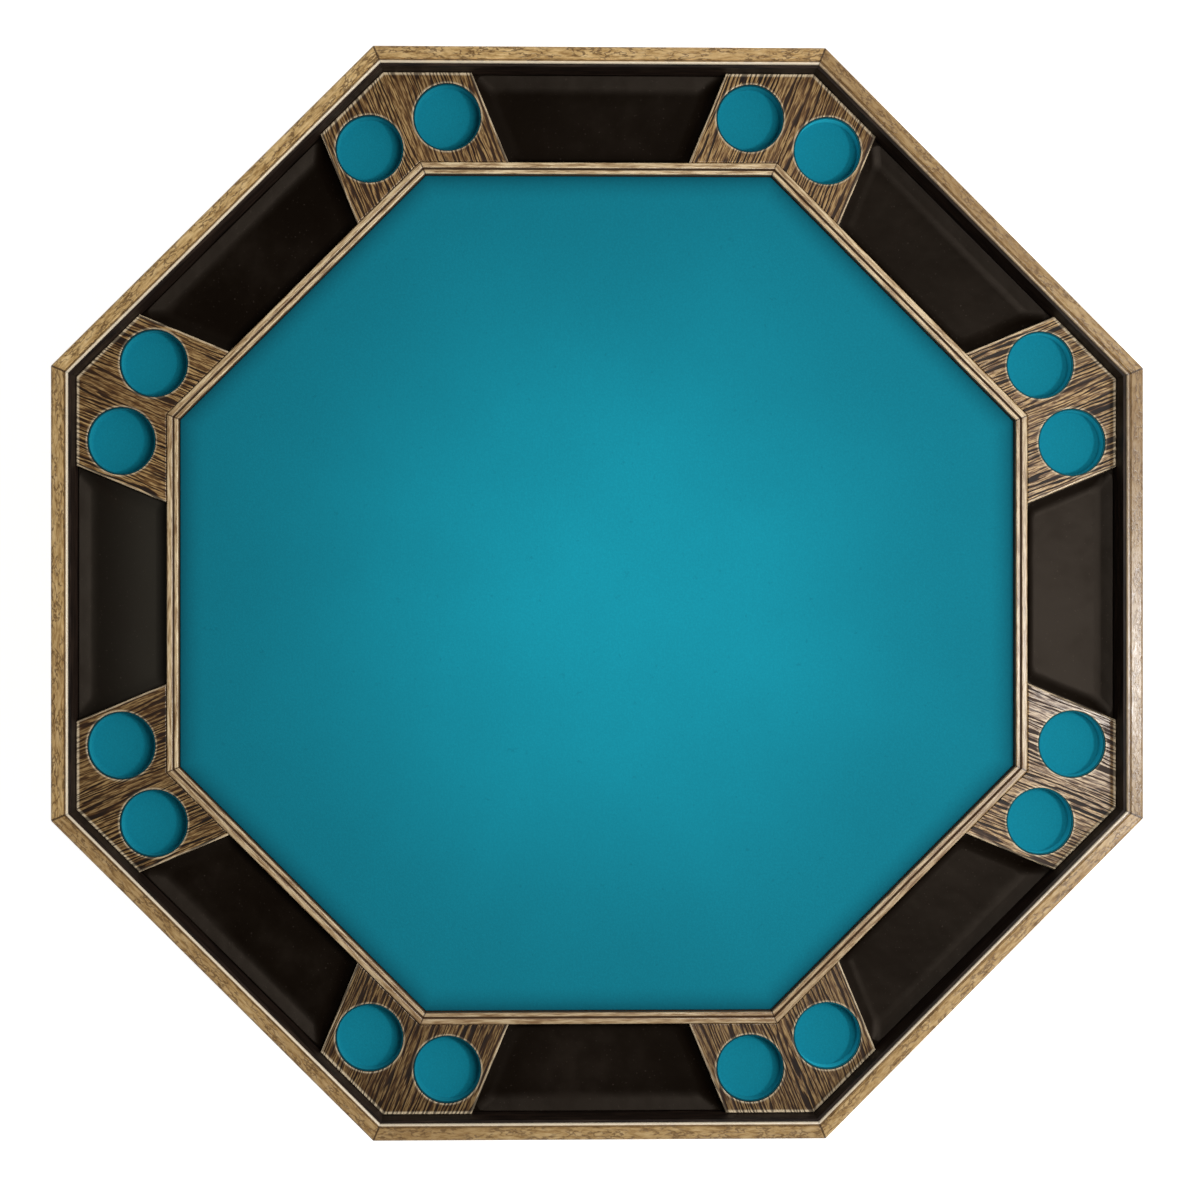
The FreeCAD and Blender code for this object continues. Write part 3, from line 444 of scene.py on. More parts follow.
def use_oak(tree, place, point, streaks, stretch, wander, pattern=0.0):
    """Places the oak group. pattern picks another piece of the tree, so that no two woods repeat each other."""
    feeds = {"Point": point, "Streaks per metre": streaks, "Stretch": stretch, "Wander": wander}
    feeds["Board"] = sums(tree, "ADD", place.outputs["Board"], pattern)
    return use(tree, oak_grain, feeds).outputs


print("oak grain made")

# %% [markdown]
# Wire-brushed oak needs one more pattern. The brush leaves long thin valleys side by side, a few millimetres apart,
# which wander together and fade in and out. Noise alone would give blots, so these are the waves of a sine across
# the board: a slow noise shifts its phase, and another sets how deep each valley is.


# %% Node group: brushed ridges
def make_ridges():
    """Outputs 1 on the ridges of brushed oak and 0 in its valleys. Valleys run along Y of the point."""
    group, given, result = new_group(
        "Brushed_ridges",
        [("Point", "Vector", None), ("Board", "Float", 0.0), ("Spacing", "Float", 0.0050)],
        [("Ridge", "Float")],
    )
    point = given.outputs["Point"]
    board = given.outputs["Board"]
    long_way = add(group, "VectorMath", {0: point, 1: (1.0, 0.10, 1.0)}, operation="MULTIPLY").outputs[0]

    def wander(scale, rough=0.5, pattern=0.0):
        """Noise drawn out along the valleys."""
        return grains(group, long_way, scale, 2.0, rough, sums(group, "ADD", board, pattern))

    across = add(group, "SeparateXYZ", {"Vector": point}).outputs["X"]
    lines = sums(group, "DIVIDE", across, given.outputs["Spacing"])
    slow = product(group, wander(30.0), 9.0)
    quick = product(group, wander(170.0, pattern=5.0), 2.2)
    phase = sums(group, "ADD", lines, sums(group, "ADD", slow, quick))
    wave = sums(group, "SINE", product(group, phase, 2 * pi))
    valley = fade(group, wave, 0.15, -0.70)
    depth = fade(group, wander(120.0, pattern=9.0), 0.36, 0.54, 0.30, 1.0)
    fine = fade(group, wander(700.0, 0.6, 13.0), 0.35, 0.62, 0.45, 1.0)
    cut = sums(group, "SUBTRACT", 1.0, product(group, valley, depth))
    return give_out(group, result, {"Ridge": product(group, cut, fine)})


brushed_ridges = make_ridges()
print("brushed ridges made")

# %% [markdown]
# ## The outer rail's finish
#
# The rail is light oak, rubbed with a brown glaze and varnished. Glaze stays in the pores, in short flecks of the
# grain and in the groove beside the bead. The bead is painted nearly white, partly as wood that handling has rubbed
# bare and partly as a painted highlight where its rounded arris catches the light, so it is the palest line on the
# table. Bead and groove could be separate pieces with their own finish, but on the real rail they are cut in one
# board, so they are found by their reach from the middle. The flecks are the lines where a noise crosses its middle
# value, broken up by a second noise. The boards' tones grow darker from +Y to -Y, and the board facing +X and its
# neighbour towards +Y are the darkest, with the bead's painted highlight mostly left off.

# %% Bead and groove
bead_width = 0.0022
groove_width = 0.0020
bead_edge = rail_inner_reach + bead_width
groove_edge = bead_edge + groove_width
print(f"bead to {1000 * bead_edge:.1f} mm from the middle, groove to {1000 * groove_edge:.1f} mm")


# %% Glaze flecks
def glaze_flecks(tree, place):
    """Short dark flecks along the grain, fewer below the rail's top face."""
    point = place.outputs["On board"]
    squeezed = add(tree, "VectorMath", {0: point, 1: (1.0, 0.36, 1.0)}, operation="MULTIPLY").outputs[0]
    field = grains(tree, squeezed, 230.0, 2.0, 0.6, place.outputs["Board"])
    on_line = fade(tree, sums(tree, "ABSOLUTE", sums(tree, "SUBTRACT", field, 0.5)), 0.02, 0.06, 1.0, 0.0)
    broken = fade(tree, grains(tree, squeezed, 120.0, 1.0, 0.5, 7.0), 0.38, 0.55)
    return product(tree, on_line, broken, near_top(tree, place, rail_top, 0.0030, 0.0005, 0.25))


print("flecks ready")

# %% [markdown]
# The rail's colour is built up in the order of the real work: bare oak, flecks, a tone by the board's bearing, the
# mitres, then the bead, painted pale as rubbed wood and as a painted highlight, and the glaze that is left in its
# groove.


# %% Material: outer rail
def make_rail_oak():
    """Light glazed oak with an inner bead worn pale and painted with a highlight."""
    made, tree, shader = new_material("Rail_oak", roughness=0.42)
    place = use(tree, board_coordinates)
    out = place.outputs["Out"]
    wood = use_oak(tree, place, place.outputs["On board"], 330.0, 5.0, 0.010)
    streak = fade(tree, wood["Streaks"], 0.30, 0.72)
    base = paints(tree, streak, (0.0, 152, 118, 70), (0.35, 192, 158, 104), (0.7, 210, 176, 120), (1.0, 227, 196, 143))
    banded = mix(tree, fade(tree, wood["Bands"], 0.40, 0.62, 0.0, 0.30), base, paint(150, 116, 76))
    flecks = glaze_flecks(tree, place)
    flecked = mix(tree, product(tree, flecks, 0.75), banded, paint(84, 58, 32))

    by_side = sums(tree, "MULTIPLY_ADD", facing(tree, place, pi / 2), -0.22, 0.22)
    darker_pair = sums(tree, "MAXIMUM", sums(tree, "SUBTRACT", facing(tree, place, HALF_STEP), 0.6), 0.0)
    tone = sums(tree, "MULTIPLY_ADD", darker_pair, 1.5, by_side)
    toned = mix(tree, tone, flecked, paint(108, 82, 52))
    mitred = mix(tree, product(tree, mitre_line(tree, place), 0.8), toned, paint(60, 40, 24))

    high_up = near_top(tree, place, rail_top, 0.006, 0.003)
    # The bead is painted pale, partly as rubbed wood and partly as a painted highlight on its rounded arris. On the
    # two darkest boards the painted highlight is mostly left off.
    on_bead = product(tree, fade(tree, out, bead_edge + 0.0003, bead_edge - 0.0005), high_up)
    rubbing_and_highlight = sums(tree, "MULTIPLY_ADD", darker_pair, -1.9, 0.80)
    rubbed_and_highlit = mix(tree, product(tree, on_bead, rubbing_and_highlight), mitred, paint(222, 208, 184))
    in_groove = between(tree, out, bead_edge, groove_edge, 0.0005, 0.0008)
    grooved = mix(tree, product(tree, in_groove, high_up, 0.75), rubbed_and_highlit, paint(74, 50, 30))
    tree.links.new(grooved, shader.inputs["Base Color"])
    feed(tree, shader.inputs["Roughness"], fade(tree, wood["Streaks"], 0.2, 0.8, 0.22, 0.34))
    relief(tree, shader, sums(tree, "SUBTRACT", wood["Height"], product(tree, flecks, 0.5)), 0.00012)
    return made


rail_oak = make_rail_oak()
print("rail finish made")

# %% [markdown]
# ## The corner blocks' finish
#
# The blocks are oak that was wire-brushed and then glazed dark. Brushing takes out the soft early wood, so the grain
# stands up in ridges: the ridges are pale brown, the valleys hold nearly black glaze, and the arrises are painted
# pale, partly as rubbed wood and partly as a painted highlight where they catch the light. A flat brown with a bump
# would look like plastic, so the ridges also drive the colour, the roughness and a thin coat of varnish that is left
# on their crests. Two sets of coordinates are used: the corner's own for the grain and the parallel ends, and the
# side's for the long outer edge. The blocks' tones differ round the table too, and are darkest at a bearing of about
# 250 degrees.

# %% Sizes for the blocks' finish
cup_margin = 0.0067
block_half = cup_aside + cup_radius + cup_margin
darkest_block = radians(250)
rub_and_highlight_from = 0.0030
rub_and_highlight_fully = 0.0010
outer_from = 0.0045
outer_fully = 0.0020
print(f"corner blocks {2000 * block_half:.0f} mm across their parallel ends")

# %% [markdown]
# The edges that hands and chips pass over are painted pale, partly as rubbed wood and partly as a painted highlight.
# Each edge has its own distance: the long outer edge from the rail, the ends from the block's middle line, and the
# cup rims from the nearer hole.


# %% Masks for the blocks
def distance_from_cup(tree, place):
    """How far a point is from the middle of the nearer cup hole of its block."""
    outwards = sums(tree, "SUBTRACT", place.outputs["Out"], cup_along)
    sideways = sums(tree, "SUBTRACT", sums(tree, "ABSOLUTE", place.outputs["Along"]), cup_aside)
    squares = sums(tree, "ADD", product(tree, outwards, outwards), product(tree, sideways, sideways))
    return sums(tree, "SQRT", squares)


def rubbed_and_highlit_arrises(tree, place, from_cup):
    """1 on the top arrises that are worn pale and painted with a highlight: the long outer edge, then the two ends and
    the rims of the cup holes.
    """
    side = use(tree, board_coordinates)
    outer = fade(tree, side.outputs["Out"], tray_high.y - outer_from, tray_high.y - outer_fully)
    along = sums(tree, "ABSOLUTE", place.outputs["Along"])
    ends = fade(tree, along, block_half - rub_and_highlight_from, block_half - rub_and_highlight_fully)
    rims = fade(tree, from_cup, cup_radius + rub_and_highlight_from, cup_radius + rub_and_highlight_fully)
    edges = sums(tree, "MAXIMUM", outer, product(tree, ends, 0.7))
    arris = sums(tree, "MAXIMUM", edges, product(tree, rims, 0.6))
    return product(tree, arris, near_top(tree, place, block_top, 0.0022, 0.0008))


print("block masks ready")

# %% [markdown]
# The ridges give the blocks their first colours, and the bands, the pores, a tone by the block's bearing and the pale
# edges, worn and with a painted highlight, are laid over them. The walls of the cup holes and a thin ring at their
# edge are painted dark, as painted shade.


# %% Material: corner blocks
def make_block_oak():
    """Dark wire-brushed oak with ridged grain, arrises worn pale with a painted highlight, and painted shade at the
    holes.
    """
    made, tree, shader = new_material("Block_oak", roughness=0.45)
    shader.inputs["Specular IOR Level"].default_value = 0.22
    shader.inputs["Coat Roughness"].default_value = 0.25
    place = use(tree, board_coordinates, {"Turn": HALF_STEP})
    quarter = {"Vector": place.outputs["On board"], "Angle": pi / 2}
    turned = add(tree, "VectorRotate", quarter, rotation_type="Z_AXIS").outputs[0]
    wood = use_oak(tree, place, turned, 230.0, 12.0, 0.010, pattern=60.0)
    ridge = use(tree, brushed_ridges, {"Point": turned, "Board": place.outputs["Board"]}).outputs["Ridge"]
    base = paints(tree, ridge, (0.0, 12, 6, 2), (0.30, 54, 33, 15), (0.60, 114, 82, 45), (1.0, 186, 152, 100))
    banded = mix(tree, fade(tree, wood["Bands"], 0.36, 0.66, 0.0, 0.40), base, paint(70, 44, 22))
    pored = mix(tree, product(tree, wood["Pores"], 0.55), banded, paint(34, 20, 10))
    dark_side = sums(tree, "MAXIMUM", facing(tree, place, darkest_block - HALF_STEP), 0.0)
    toned = mix(tree, product(tree, dark_side, 0.42), pored, paint(20, 10, 4))

    from_cup = distance_from_cup(tree, place)
    # The arrises are painted pale, partly as worn wood and partly as a painted highlight.
    worn = product(tree, rubbed_and_highlit_arrises(tree, place, from_cup), fade(tree, ridge, 0.1, 0.8, 0.20, 0.85))
    rubbed_and_highlit = mix(tree, worn, toned, paint(226, 206, 172))
    # The hole's wall and a thin ring at its edge are painted dark, as painted shade.
    in_hole = fade(tree, from_cup, cup_radius + 0.0002, cup_radius + 0.0006, 1.0, 0.0)
    finished = mix(tree, in_hole, rubbed_and_highlit, paint(30, 20, 12))
    tree.links.new(finished, shader.inputs["Base Color"])
    feed(tree, shader.inputs["Roughness"], fade(tree, ridge, 0.0, 1.0, 0.55, 0.32))
    feed(tree, shader.inputs["Coat Weight"], fade(tree, ridge, 0.2, 0.9, 0.0, 0.6))
    relief(tree, shader, ridge, 0.0004)
    return made


block_oak = make_block_oak()
print("block finish made")

# %% [markdown]
# ## The moulding and the dark lining
#
# The inner moulding is the palest wood on the table: two beads with glaze in the groove between them. Its lengths
# grow darker towards -Y and +X. From a distance it could be a plain colour, but close up it is the grain that says
# wood, so it uses the same oak group as the rail, with its own colours.


# %% Material: inner moulding
def make_moulding_oak():
    """Pale oak, dark in the groove between its two beads, with painted shade on its faces below the top."""
    made, tree, shader = new_material("Moulding_oak", roughness=0.30)
    place = use(tree, board_coordinates)
    wood = use_oak(tree, place, place.outputs["On board"], 420.0, 12.0, 0.006, pattern=20.0)
    streak = fade(tree, wood["Streaks"], 0.30, 0.70)
    base = paints(tree, streak, (0.0, 122, 92, 58), (0.45, 184, 157, 117), (1.0, 222, 200, 161))
    pored = mix(tree, product(tree, wood["Pores"], 0.5), base, paint(110, 78, 50))
    groove_start = moulding_reach - 0.0092
    groove_end = moulding_reach - 0.0058
    in_groove = between(tree, place.outputs["Out"], groove_start, groove_end, 0.0008, 0.0008)
    glazed = mix(tree, product(tree, in_groove, 0.92), pored, paint(54, 32, 18))

    across = sums(tree, "MULTIPLY_ADD", facing(tree, place), 0.12, 0.14)
    tone = sums(tree, "MULTIPLY_ADD", facing(tree, place, pi / 2), -0.22, across)
    toned = mix(tree, tone, glazed, paint(96, 66, 40))
    # The faces more than a few millimetres below the top are painted dark, as painted shade.
    on_top = near_top(tree, place, moulding_top, 0.0045, 0.0020)
    shaded = mix(tree, on_top, paint(92, 64, 40), toned)
    joined = mix(tree, product(tree, mitre_line(tree, place, 0.0005), 0.8), shaded, paint(60, 38, 22))
    tree.links.new(joined, shader.inputs["Base Color"])
    relief(tree, shader, wood["Height"], 0.0001)
    return made


moulding_oak = make_moulding_oak()
print("moulding finish made")

# %% [markdown]
# The lining is a thin strip stained nearly black-brown, so that the chips and trays stand in shadow. It is the same
# oak once more, and its stain hides all but a trace of the streaks.


# %% Material: dark lining
def make_lining_stain():
    """Thin strip stained a very dark brown."""
    made, tree, shader = new_material("Lining_stain", roughness=0.55)
    shader.inputs["Specular IOR Level"].default_value = 0.15
    place = use(tree, board_coordinates)
    wood = use_oak(tree, place, place.outputs["On board"], 300.0, 12.0, 0.006, pattern=90.0)
    streak = fade(tree, wood["Streaks"], 0.3, 0.7)
    base = paints(tree, streak, (0.0, 14, 8, 5), (0.5, 30, 20, 14), (1.0, 46, 34, 26))
    tree.links.new(base, shader.inputs["Base Color"])
    relief(tree, shader, wood["Height"], 0.0003)
    return made


lining_stain = make_lining_stain()
print("lining finish made")

# %% [markdown]
# ## Felt
#
# Felt is a mat of short fibres. From a distance it is one colour with faint clouds in it. Closer, the nap breaks up
# into specks a millimetre or two wide, some paler where the fibre ends stand up, with a few dark flecks. The bump is
# finer still. A little sheen makes it glow softly where the surface turns away, which a plain diffuse surface
# doesn't. The group gives the specks and the clouds, and each cloth mixes its own colour.


# %% Node group: felt nap
def make_felt_nap():
    """Outputs the clouds, specks and flecks of felt as masks, and a height for its bump."""
    group, given, result = new_group(
        "Felt_nap",
        [("Specks per metre", "Float", 500.0)],
        [("Clouds", "Float"), ("Specks", "Float"), ("Flecks", "Float"), ("Height", "Float")],
    )
    point = table_point(group)
    scale = given.outputs["Specks per metre"]
    clouds = grains(group, point, 7.0, 3.0, 0.5, 3.0)
    specks = grains(group, point, scale, 3.0, 0.65, 5.0)
    flecks = fade(group, grains(group, point, product(group, scale, 0.33), 2.0, 0.6, 9.0), 0.66, 0.74)
    fibres = grains(group, point, product(group, scale, 3.2), 2.0, 0.7, 13.0)
    height = sums(group, "MULTIPLY_ADD", fibres, 0.5, product(group, specks, 0.5))
    return give_out(group, result, {"Clouds": clouds, "Specks": specks, "Flecks": flecks, "Height": height})


felt_nap = make_felt_nap()
print("felt nap made")

# %% [markdown]
# ## The teal felts
#
# The playing felt is a clear teal with painted light in its colour: it is palest in the middle of the table, as a
# painted pool of light, grows slowly darker towards its edges, and darker still within a few centimetres of the
# moulding, as a painted shadow. The felt in the cup wells is the same cloth, less faded, with a painted shade line
# just below its rim. The wells' walls are painted lighter than their floors, most on the +X side, where they catch
# less light, so that floor and wall read as one colour. Three plain materials would drift apart as they are
# adjusted, so one function makes all three. Sheen weight is the same all over, so it is set on the shader itself.


# %% Materials: teal felts
def field_with_painted_shade(tree, place, middle, edge, margin):
    """The playing felt's colour with painted light and shade: from middle to edge slowly, then quickly over the last
    margin metres.
    """
    slowly = mix(tree, fade(tree, place.outputs["Out"], 0.03, field_reach, 0.0, 0.55), middle, edge)
    near_border = climb(tree, place.outputs["Out"], field_reach - margin, field_reach)
    return mix(tree, sums(tree, "POWER", near_border, 1.5), slowly, edge)


def lined_well(tree, place, floor_colour, rim):
    """A cup lining's colour: its floor, its wall painted lighter than the floor against its shade, and a painted shade
    line at the height of the rim.
    """
    on_wall = fade(tree, place.outputs["Up"], cup_low.z + 0.0018, cup_low.z + 0.0045)
    # A dark line just below and over the rim is painted shade; the wall is painted lighter, most on the +X side.
    at_rim = near_top(tree, place, rim, 0.003, 0.001, 0.0, 0.85)
    plus_x_side = fade(tree, facing(tree, place), 0.2, 0.7)
    wall = mix(tree, plus_x_side, paint(19, 140, 160), paint(36, 186, 209))
    return mix(tree, at_rim, mix(tree, on_wall, floor_colour, wall), paint(4, 40, 48))


def make_teal_felt(name, middle, edge, margin=0.0, rim=0.0):
    """Teal felt. It may go to the edge colour, as painted shade, over the last margin metres, or line a cup with its
    rim at a height.
    """
    made, tree, shader = new_material(name, roughness=0.92)
    shader.inputs["Specular IOR Level"].default_value = 0.08
    shader.inputs["Sheen Weight"].default_value = 0.05
    shader.inputs["Sheen Roughness"].default_value = 0.5
    shader.inputs["Sheen Tint"].default_value = paint(110, 205, 215)
    nap = use(tree, felt_nap, {"Specks per metre": 420.0}).outputs
    place = use(tree, board_coordinates)
    body = middle
    if margin:
        body = field_with_painted_shade(tree, place, middle, edge, margin)
    if rim:
        body = lined_well(tree, place, middle, rim)
    clouded = mix(tree, fade(tree, nap["Clouds"], 0.3, 0.7, 0.0, 0.10), body, edge)
    bright = fade(tree, nap["Specks"], 0.35, 0.75, 0.94, 1.06)
    pale = add(tree, "CombineColor", {"Red": bright, "Green": bright, "Blue": bright}).outputs[0]
    specked = mix(tree, 1.0, clouded, pale, "MULTIPLY")
    flecked = mix(tree, product(tree, nap["Flecks"], 0.22), specked, edge)
    tree.links.new(flecked, shader.inputs["Base Color"])
    relief(tree, shader, nap["Height"], 0.0003)
    return made


field_felt = make_teal_felt("Field_felt", paint(19, 143, 163), paint(9, 87, 103), margin=0.028)
cup_felt = make_teal_felt("Cup_felt", paint(14, 122, 141), paint(10, 97, 113), rim=cup_high.z)
bed_felt = make_teal_felt("Bed_cloth", paint(18, 130, 147), paint(12, 100, 116))
print("felts made")

# %% [markdown]
# ## Dust and the chip trays' plastic
#
# The trays are one dark brown sheet plastic, drawn over a mould. Such sheet has a very fine pebbled skin that keeps
# it from being a mirror, slow ripples from the mould, a faint haze of dust and rubbing, and no grain. The haze is
# what shows in the light, so it raises the roughness as well as greying the colour. The tray on the -X side has a
# thicker grey film than the others, partly dust and partly a painted reflection, strongest at its front and fading
# out towards its back. Painting the dust by hand would give more control, but noise is enough for a haze. The group
# makes the haze first.


# %% Node group: dust
def make_dust():
    """Outputs a patchy haze of dust and small bright specks."""
    group, given, result = new_group(
        "Dust", [("Specks per metre", "Float", 350.0)], [("Haze", "Float"), ("Specks", "Float")]
    )
    point = table_point(group)
    patches = fade(group, grains(group, point, 6.0, 4.0, 0.6, 2.0), 0.42, 0.70)
    streaky = fade(group, grains(group, point, 40.0, 3.0, 0.6, 4.0), 0.35, 0.75)
    specks = fade(group, grains(group, point, given.outputs["Specks per metre"], 1.0, 0.5, 6.0), 0.68, 0.76)
    haze = product(group, patches, sums(group, "MULTIPLY_ADD", streaky, 0.6, 0.4))
    return give_out(group, result, {"Haze": haze, "Specks": specks})


dust = make_dust()
print("dust made")

# %% [markdown]
# The plastic then lays haze, the -X tray's layer of dust and painted reflection, and specks over its own brown, one
# after the other.


# %% Material: tray plastic
def make_tray_plastic():
    """Dark brown moulded plastic, semi-gloss, with a pebbled skin, a little dust, and a painted reflection on the -X
    tray.
    """
    made, tree, shader = new_material("Tray_plastic", roughness=0.45)
    shader.inputs["Specular IOR Level"].default_value = 0.10
    shader.inputs["Specular Tint"].default_value = (1.0, 0.82, 0.66, 1.0)
    dusty = use(tree, dust, {"Specks per metre": 380.0}).outputs
    haze = dusty["Haze"]
    place = use(tree, board_coordinates)
    base = mix(tree, product(tree, haze, 0.45), paint(9, 4, 1), paint(36, 29, 23))
    # The -X tray gets a grey layer that is partly dust and partly a painted reflection, strongest at its front.
    dusty_reflecting_tray = fade(tree, facing(tree, place), -0.80, -0.98)
    dust_and_reflection = product(tree, dusty_reflecting_tray, fade(tree, place.outputs["Out"], tray_high.y - 0.02, tray_low.y, 0.25, 0.95))
    film_and_reflection = mix(tree, sums(tree, "MULTIPLY_ADD", haze, -0.25, dust_and_reflection), base, paint(50, 47, 41))
    specked = mix(tree, product(tree, dusty["Specks"], 0.25), film_and_reflection, paint(84, 74, 66))
    tree.links.new(specked, shader.inputs["Base Color"])
    feed(tree, shader.inputs["Roughness"], fade(tree, haze, 0.0, 1.0, 0.40, 0.55))
    point = table_point(tree)
    pebbles = grains(tree, point, 900.0, 2.0, 0.6, 1.0)
    ripples = grains(tree, point, 26.0, 2.0, 0.5, 8.0)
    relief(tree, shader, sums(tree, "MULTIPLY_ADD", ripples, 1.6, product(tree, pebbles, 0.05)), 0.0006)
    return made


tray_plastic = make_tray_plastic()
print("tray plastic made")

# %% [markdown]
# ## The cabinet's oak
#
# The aprons, top rails and legs match the outer rail's oak, without its flecks. A leg's grain runs up and down, so
# its coordinates are laid over before they reach the oak group, which is simpler than a second group.


# %% Materials: cabinet oak
def laid_over(tree, point):
    """The point with Y and Z swapped, so that grain made to run along Y runs up and down."""
    parts = add(tree, "SeparateXYZ", {"Vector": point}).outputs
    return add(tree, "CombineXYZ", {"X": parts["X"], "Y": parts["Z"], "Z": parts["Y"]}).outputs[0]


def make_cabinet_oak(name, upright):
    """Light oak for the aprons and top rails, or with upright grain for the legs."""
    made, tree, shader = new_material(name, roughness=0.42)
    place = use(tree, board_coordinates)
    point = place.outputs["On board"]
    if upright:
        point = laid_over(tree, point)
    wood = use_oak(tree, place, point, 260.0, 16.0, 0.012, pattern=130.0)
    streak = fade(tree, wood["Streaks"], 0.28, 0.72)
    base = paints(tree, streak, (0.0, 126, 94, 60), (0.4, 166, 132, 90), (0.75, 186, 153, 109), (1.0, 202, 172, 128))
    banded = mix(tree, fade(tree, wood["Bands"], 0.38, 0.64, 0.0, 0.42), base, paint(136, 100, 64))
    pored = mix(tree, product(tree, wood["Pores"], 0.55), banded, paint(88, 62, 38))
    tree.links.new(pored, shader.inputs["Base Color"])
    feed(tree, shader.inputs["Roughness"], fade(tree, wood["Streaks"], 0.2, 0.8, 0.38, 0.50))
    relief(tree, shader, wood["Height"], 0.0005)
    return made


cabinet_oak = make_cabinet_oak("Cabinet_oak", upright=False)
leg_oak = make_cabinet_oak("Leg_oak", upright=True)
print("cabinet oak made")

# %% [markdown]
# ## Plain woods and boards
#
# The parts nobody sees are plain: planed softwood for the beams, blocks and ledgers, plywood for the ball boxes, and
# particle board for the panel, the field board and the bed. Softwood and plywood are the oak group again, with few
# and long streaks and without its pores. Particle board has no direction at all, so it is made from the cells of a
# Voronoi texture, one brown to a chip.


# %% Materials: softwood, plywood and particle board
def make_plain_wood(name, roughness, point_of, streaks, stretch, wander, *stops):
    """Planed wood: faint streaks in the colours of the stops. point_of gives the point, from the tree."""
    made, tree, shader = new_material(name, roughness)
    feeds = {"Point": point_of(tree), "Streaks per metre": streaks, "Stretch": stretch, "Wander": wander}
    wood = use(tree, oak_grain, feeds).outputs
    base = paints(tree, fade(tree, wood["Streaks"], 0.3, 0.7), *stops)
    tree.links.new(base, shader.inputs["Base Color"])
    relief(tree, shader, wood["Height"], 0.0003)
    return made


def make_softwood(name, point_of):
    """Planed softwood."""
    stops = [(0.0, 176, 134, 86), (0.5, 212, 174, 124), (1.0, 228, 196, 150)]
    return make_plain_wood(name, 0.65, point_of, 150.0, 22.0, 0.02, *stops)


def make_particle_board():
    """Particle board: pressed chips of many browns, with no direction."""
    made, tree, shader = new_material("Particle_board", roughness=0.75)
    chips = add(tree, "TexVoronoi", {"Vector": table_point(tree), "Scale": 260.0}, feature="F1")
    tone = add(tree, "SeparateColor", {"Color": chips.outputs["Color"]}).outputs["Red"]
    base = paints(tree, tone, (0.0, 126, 96, 64), (0.4, 168, 134, 94), (0.8, 190, 158, 116), (1.0, 208, 178, 136))
    tree.links.new(base, shader.inputs["Base Color"])
    relief(tree, shader, chips.outputs["Distance"], 0.0004)
    return made


beam_pine = make_softwood("Beam_pine", table_point)
block_pine = make_softwood("Glue_block_pine", lambda tree: laid_over(tree, table_point(tree)))
ledger_pine = make_softwood("Ledger_pine", lambda tree: use(tree, board_coordinates).outputs["On board"])
ply_stops = [(0.0, 182, 142, 96), (0.5, 208, 172, 126), (1.0, 222, 190, 146)]
box_plywood = make_plain_wood("Box_plywood", 0.6, table_point, 120.0, 18.0, 0.03, *ply_stops)
particle_board = make_particle_board()
print("plain woods made")

# %% [markdown]
# ## Rubber, plastic and metal
#
# The bumper posts are ivory plastic and their rings red rubber with a bloom of chalk. The pocket liners are black.
# Screws and bolts are zinc-plated: bright, slightly yellow, with duller patches. All of them are small, one colour
# with worn patches and a fine skin, so one function makes every one from its two colours.


# %% Materials: rubber, plastic, metal
def make_small_part(name, colour, worn_colour, roughness, metallic, bump):
    """A moulded or plated part: one colour with worn patches and a fine skin."""
    made, tree, shader = new_material(name, roughness, metallic)
    point = table_point(tree)
    patches = fade(tree, grains(tree, point, 90.0, 3.0, 0.6, 7.0), 0.40, 0.70)
    skin = grains(tree, point, 1400.0, 2.0, 0.6, 3.0)
    tree.links.new(mix(tree, patches, colour, worn_colour), shader.inputs["Base Color"])
    feed(tree, shader.inputs["Roughness"], fade(tree, patches, 0.0, 1.0, roughness, min(1.0, roughness + 0.15)))
    relief(tree, shader, skin, bump)
    return made


ring_rubber = make_small_part("Ring_rubber", paint(150, 28, 24), paint(172, 62, 54), 0.55, 0.0, 0.0002)
post_plastic = make_small_part("Post_plastic", paint(232, 226, 208), paint(216, 206, 182), 0.28, 0.0, 0.00004)
liner_plastic = make_small_part("Liner_plastic", paint(24, 24, 25), paint(44, 43, 42), 0.40, 0.0, 0.0001)
screw_zinc = make_small_part("Screw_zinc", paint(196, 194, 188), paint(160, 156, 146), 0.30, 1.0, 0.00005)
bolt_zinc = make_small_part("Bolt_zinc", paint(186, 184, 178), paint(140, 136, 128), 0.34, 1.0, 0.00006)
print("hardware finishes made")

# %% [markdown]
# A leveller is one part of the frame but two materials on the real foot: a black moulded disc, and a plated hexagon
# and stem above it. Its height above the floor tells them apart. The stem's thread is fine enough to be a wave in
# the bump.

# %% Material: levellers
def make_leveller_finish():
    """A black moulded foot under a plated hexagon and stem."""
    disc_top = 0.0090
    stem_start = 0.0150
    made, tree, shader = new_material("Leveller", roughness=0.35)
    point = table_point(tree)
    height = add(tree, "SeparateXYZ", {"Vector": point}).outputs["Z"]
    plated = fade(tree, height, disc_top - 0.0001, disc_top + 0.0001)
    patches = fade(tree, grains(tree, point, 120.0, 3.0, 0.6, 5.0), 0.4, 0.7)
    steel = mix(tree, patches, paint(190, 187, 180), paint(150, 146, 136))
    foot = mix(tree, patches, paint(26, 26, 27), paint(52, 50, 48))
    tree.links.new(mix(tree, plated, foot, steel), shader.inputs["Base Color"])
    feed(tree, shader.inputs["Metallic"], plated)
    feed(tree, shader.inputs["Roughness"], fade(tree, plated, 0.0, 1.0, 0.5, 0.3))
    threads = add(tree, "TexWave", {"Vector": point, "Scale": 212.0}, bands_direction="Z")
    on_stem = fade(tree, height, stem_start, stem_start + 0.0003)
    relief(tree, shader, product(tree, threads.outputs["Fac"], on_stem), 0.0006)
    return made


leveller_finish = make_leveller_finish()
print("leveller finish made")

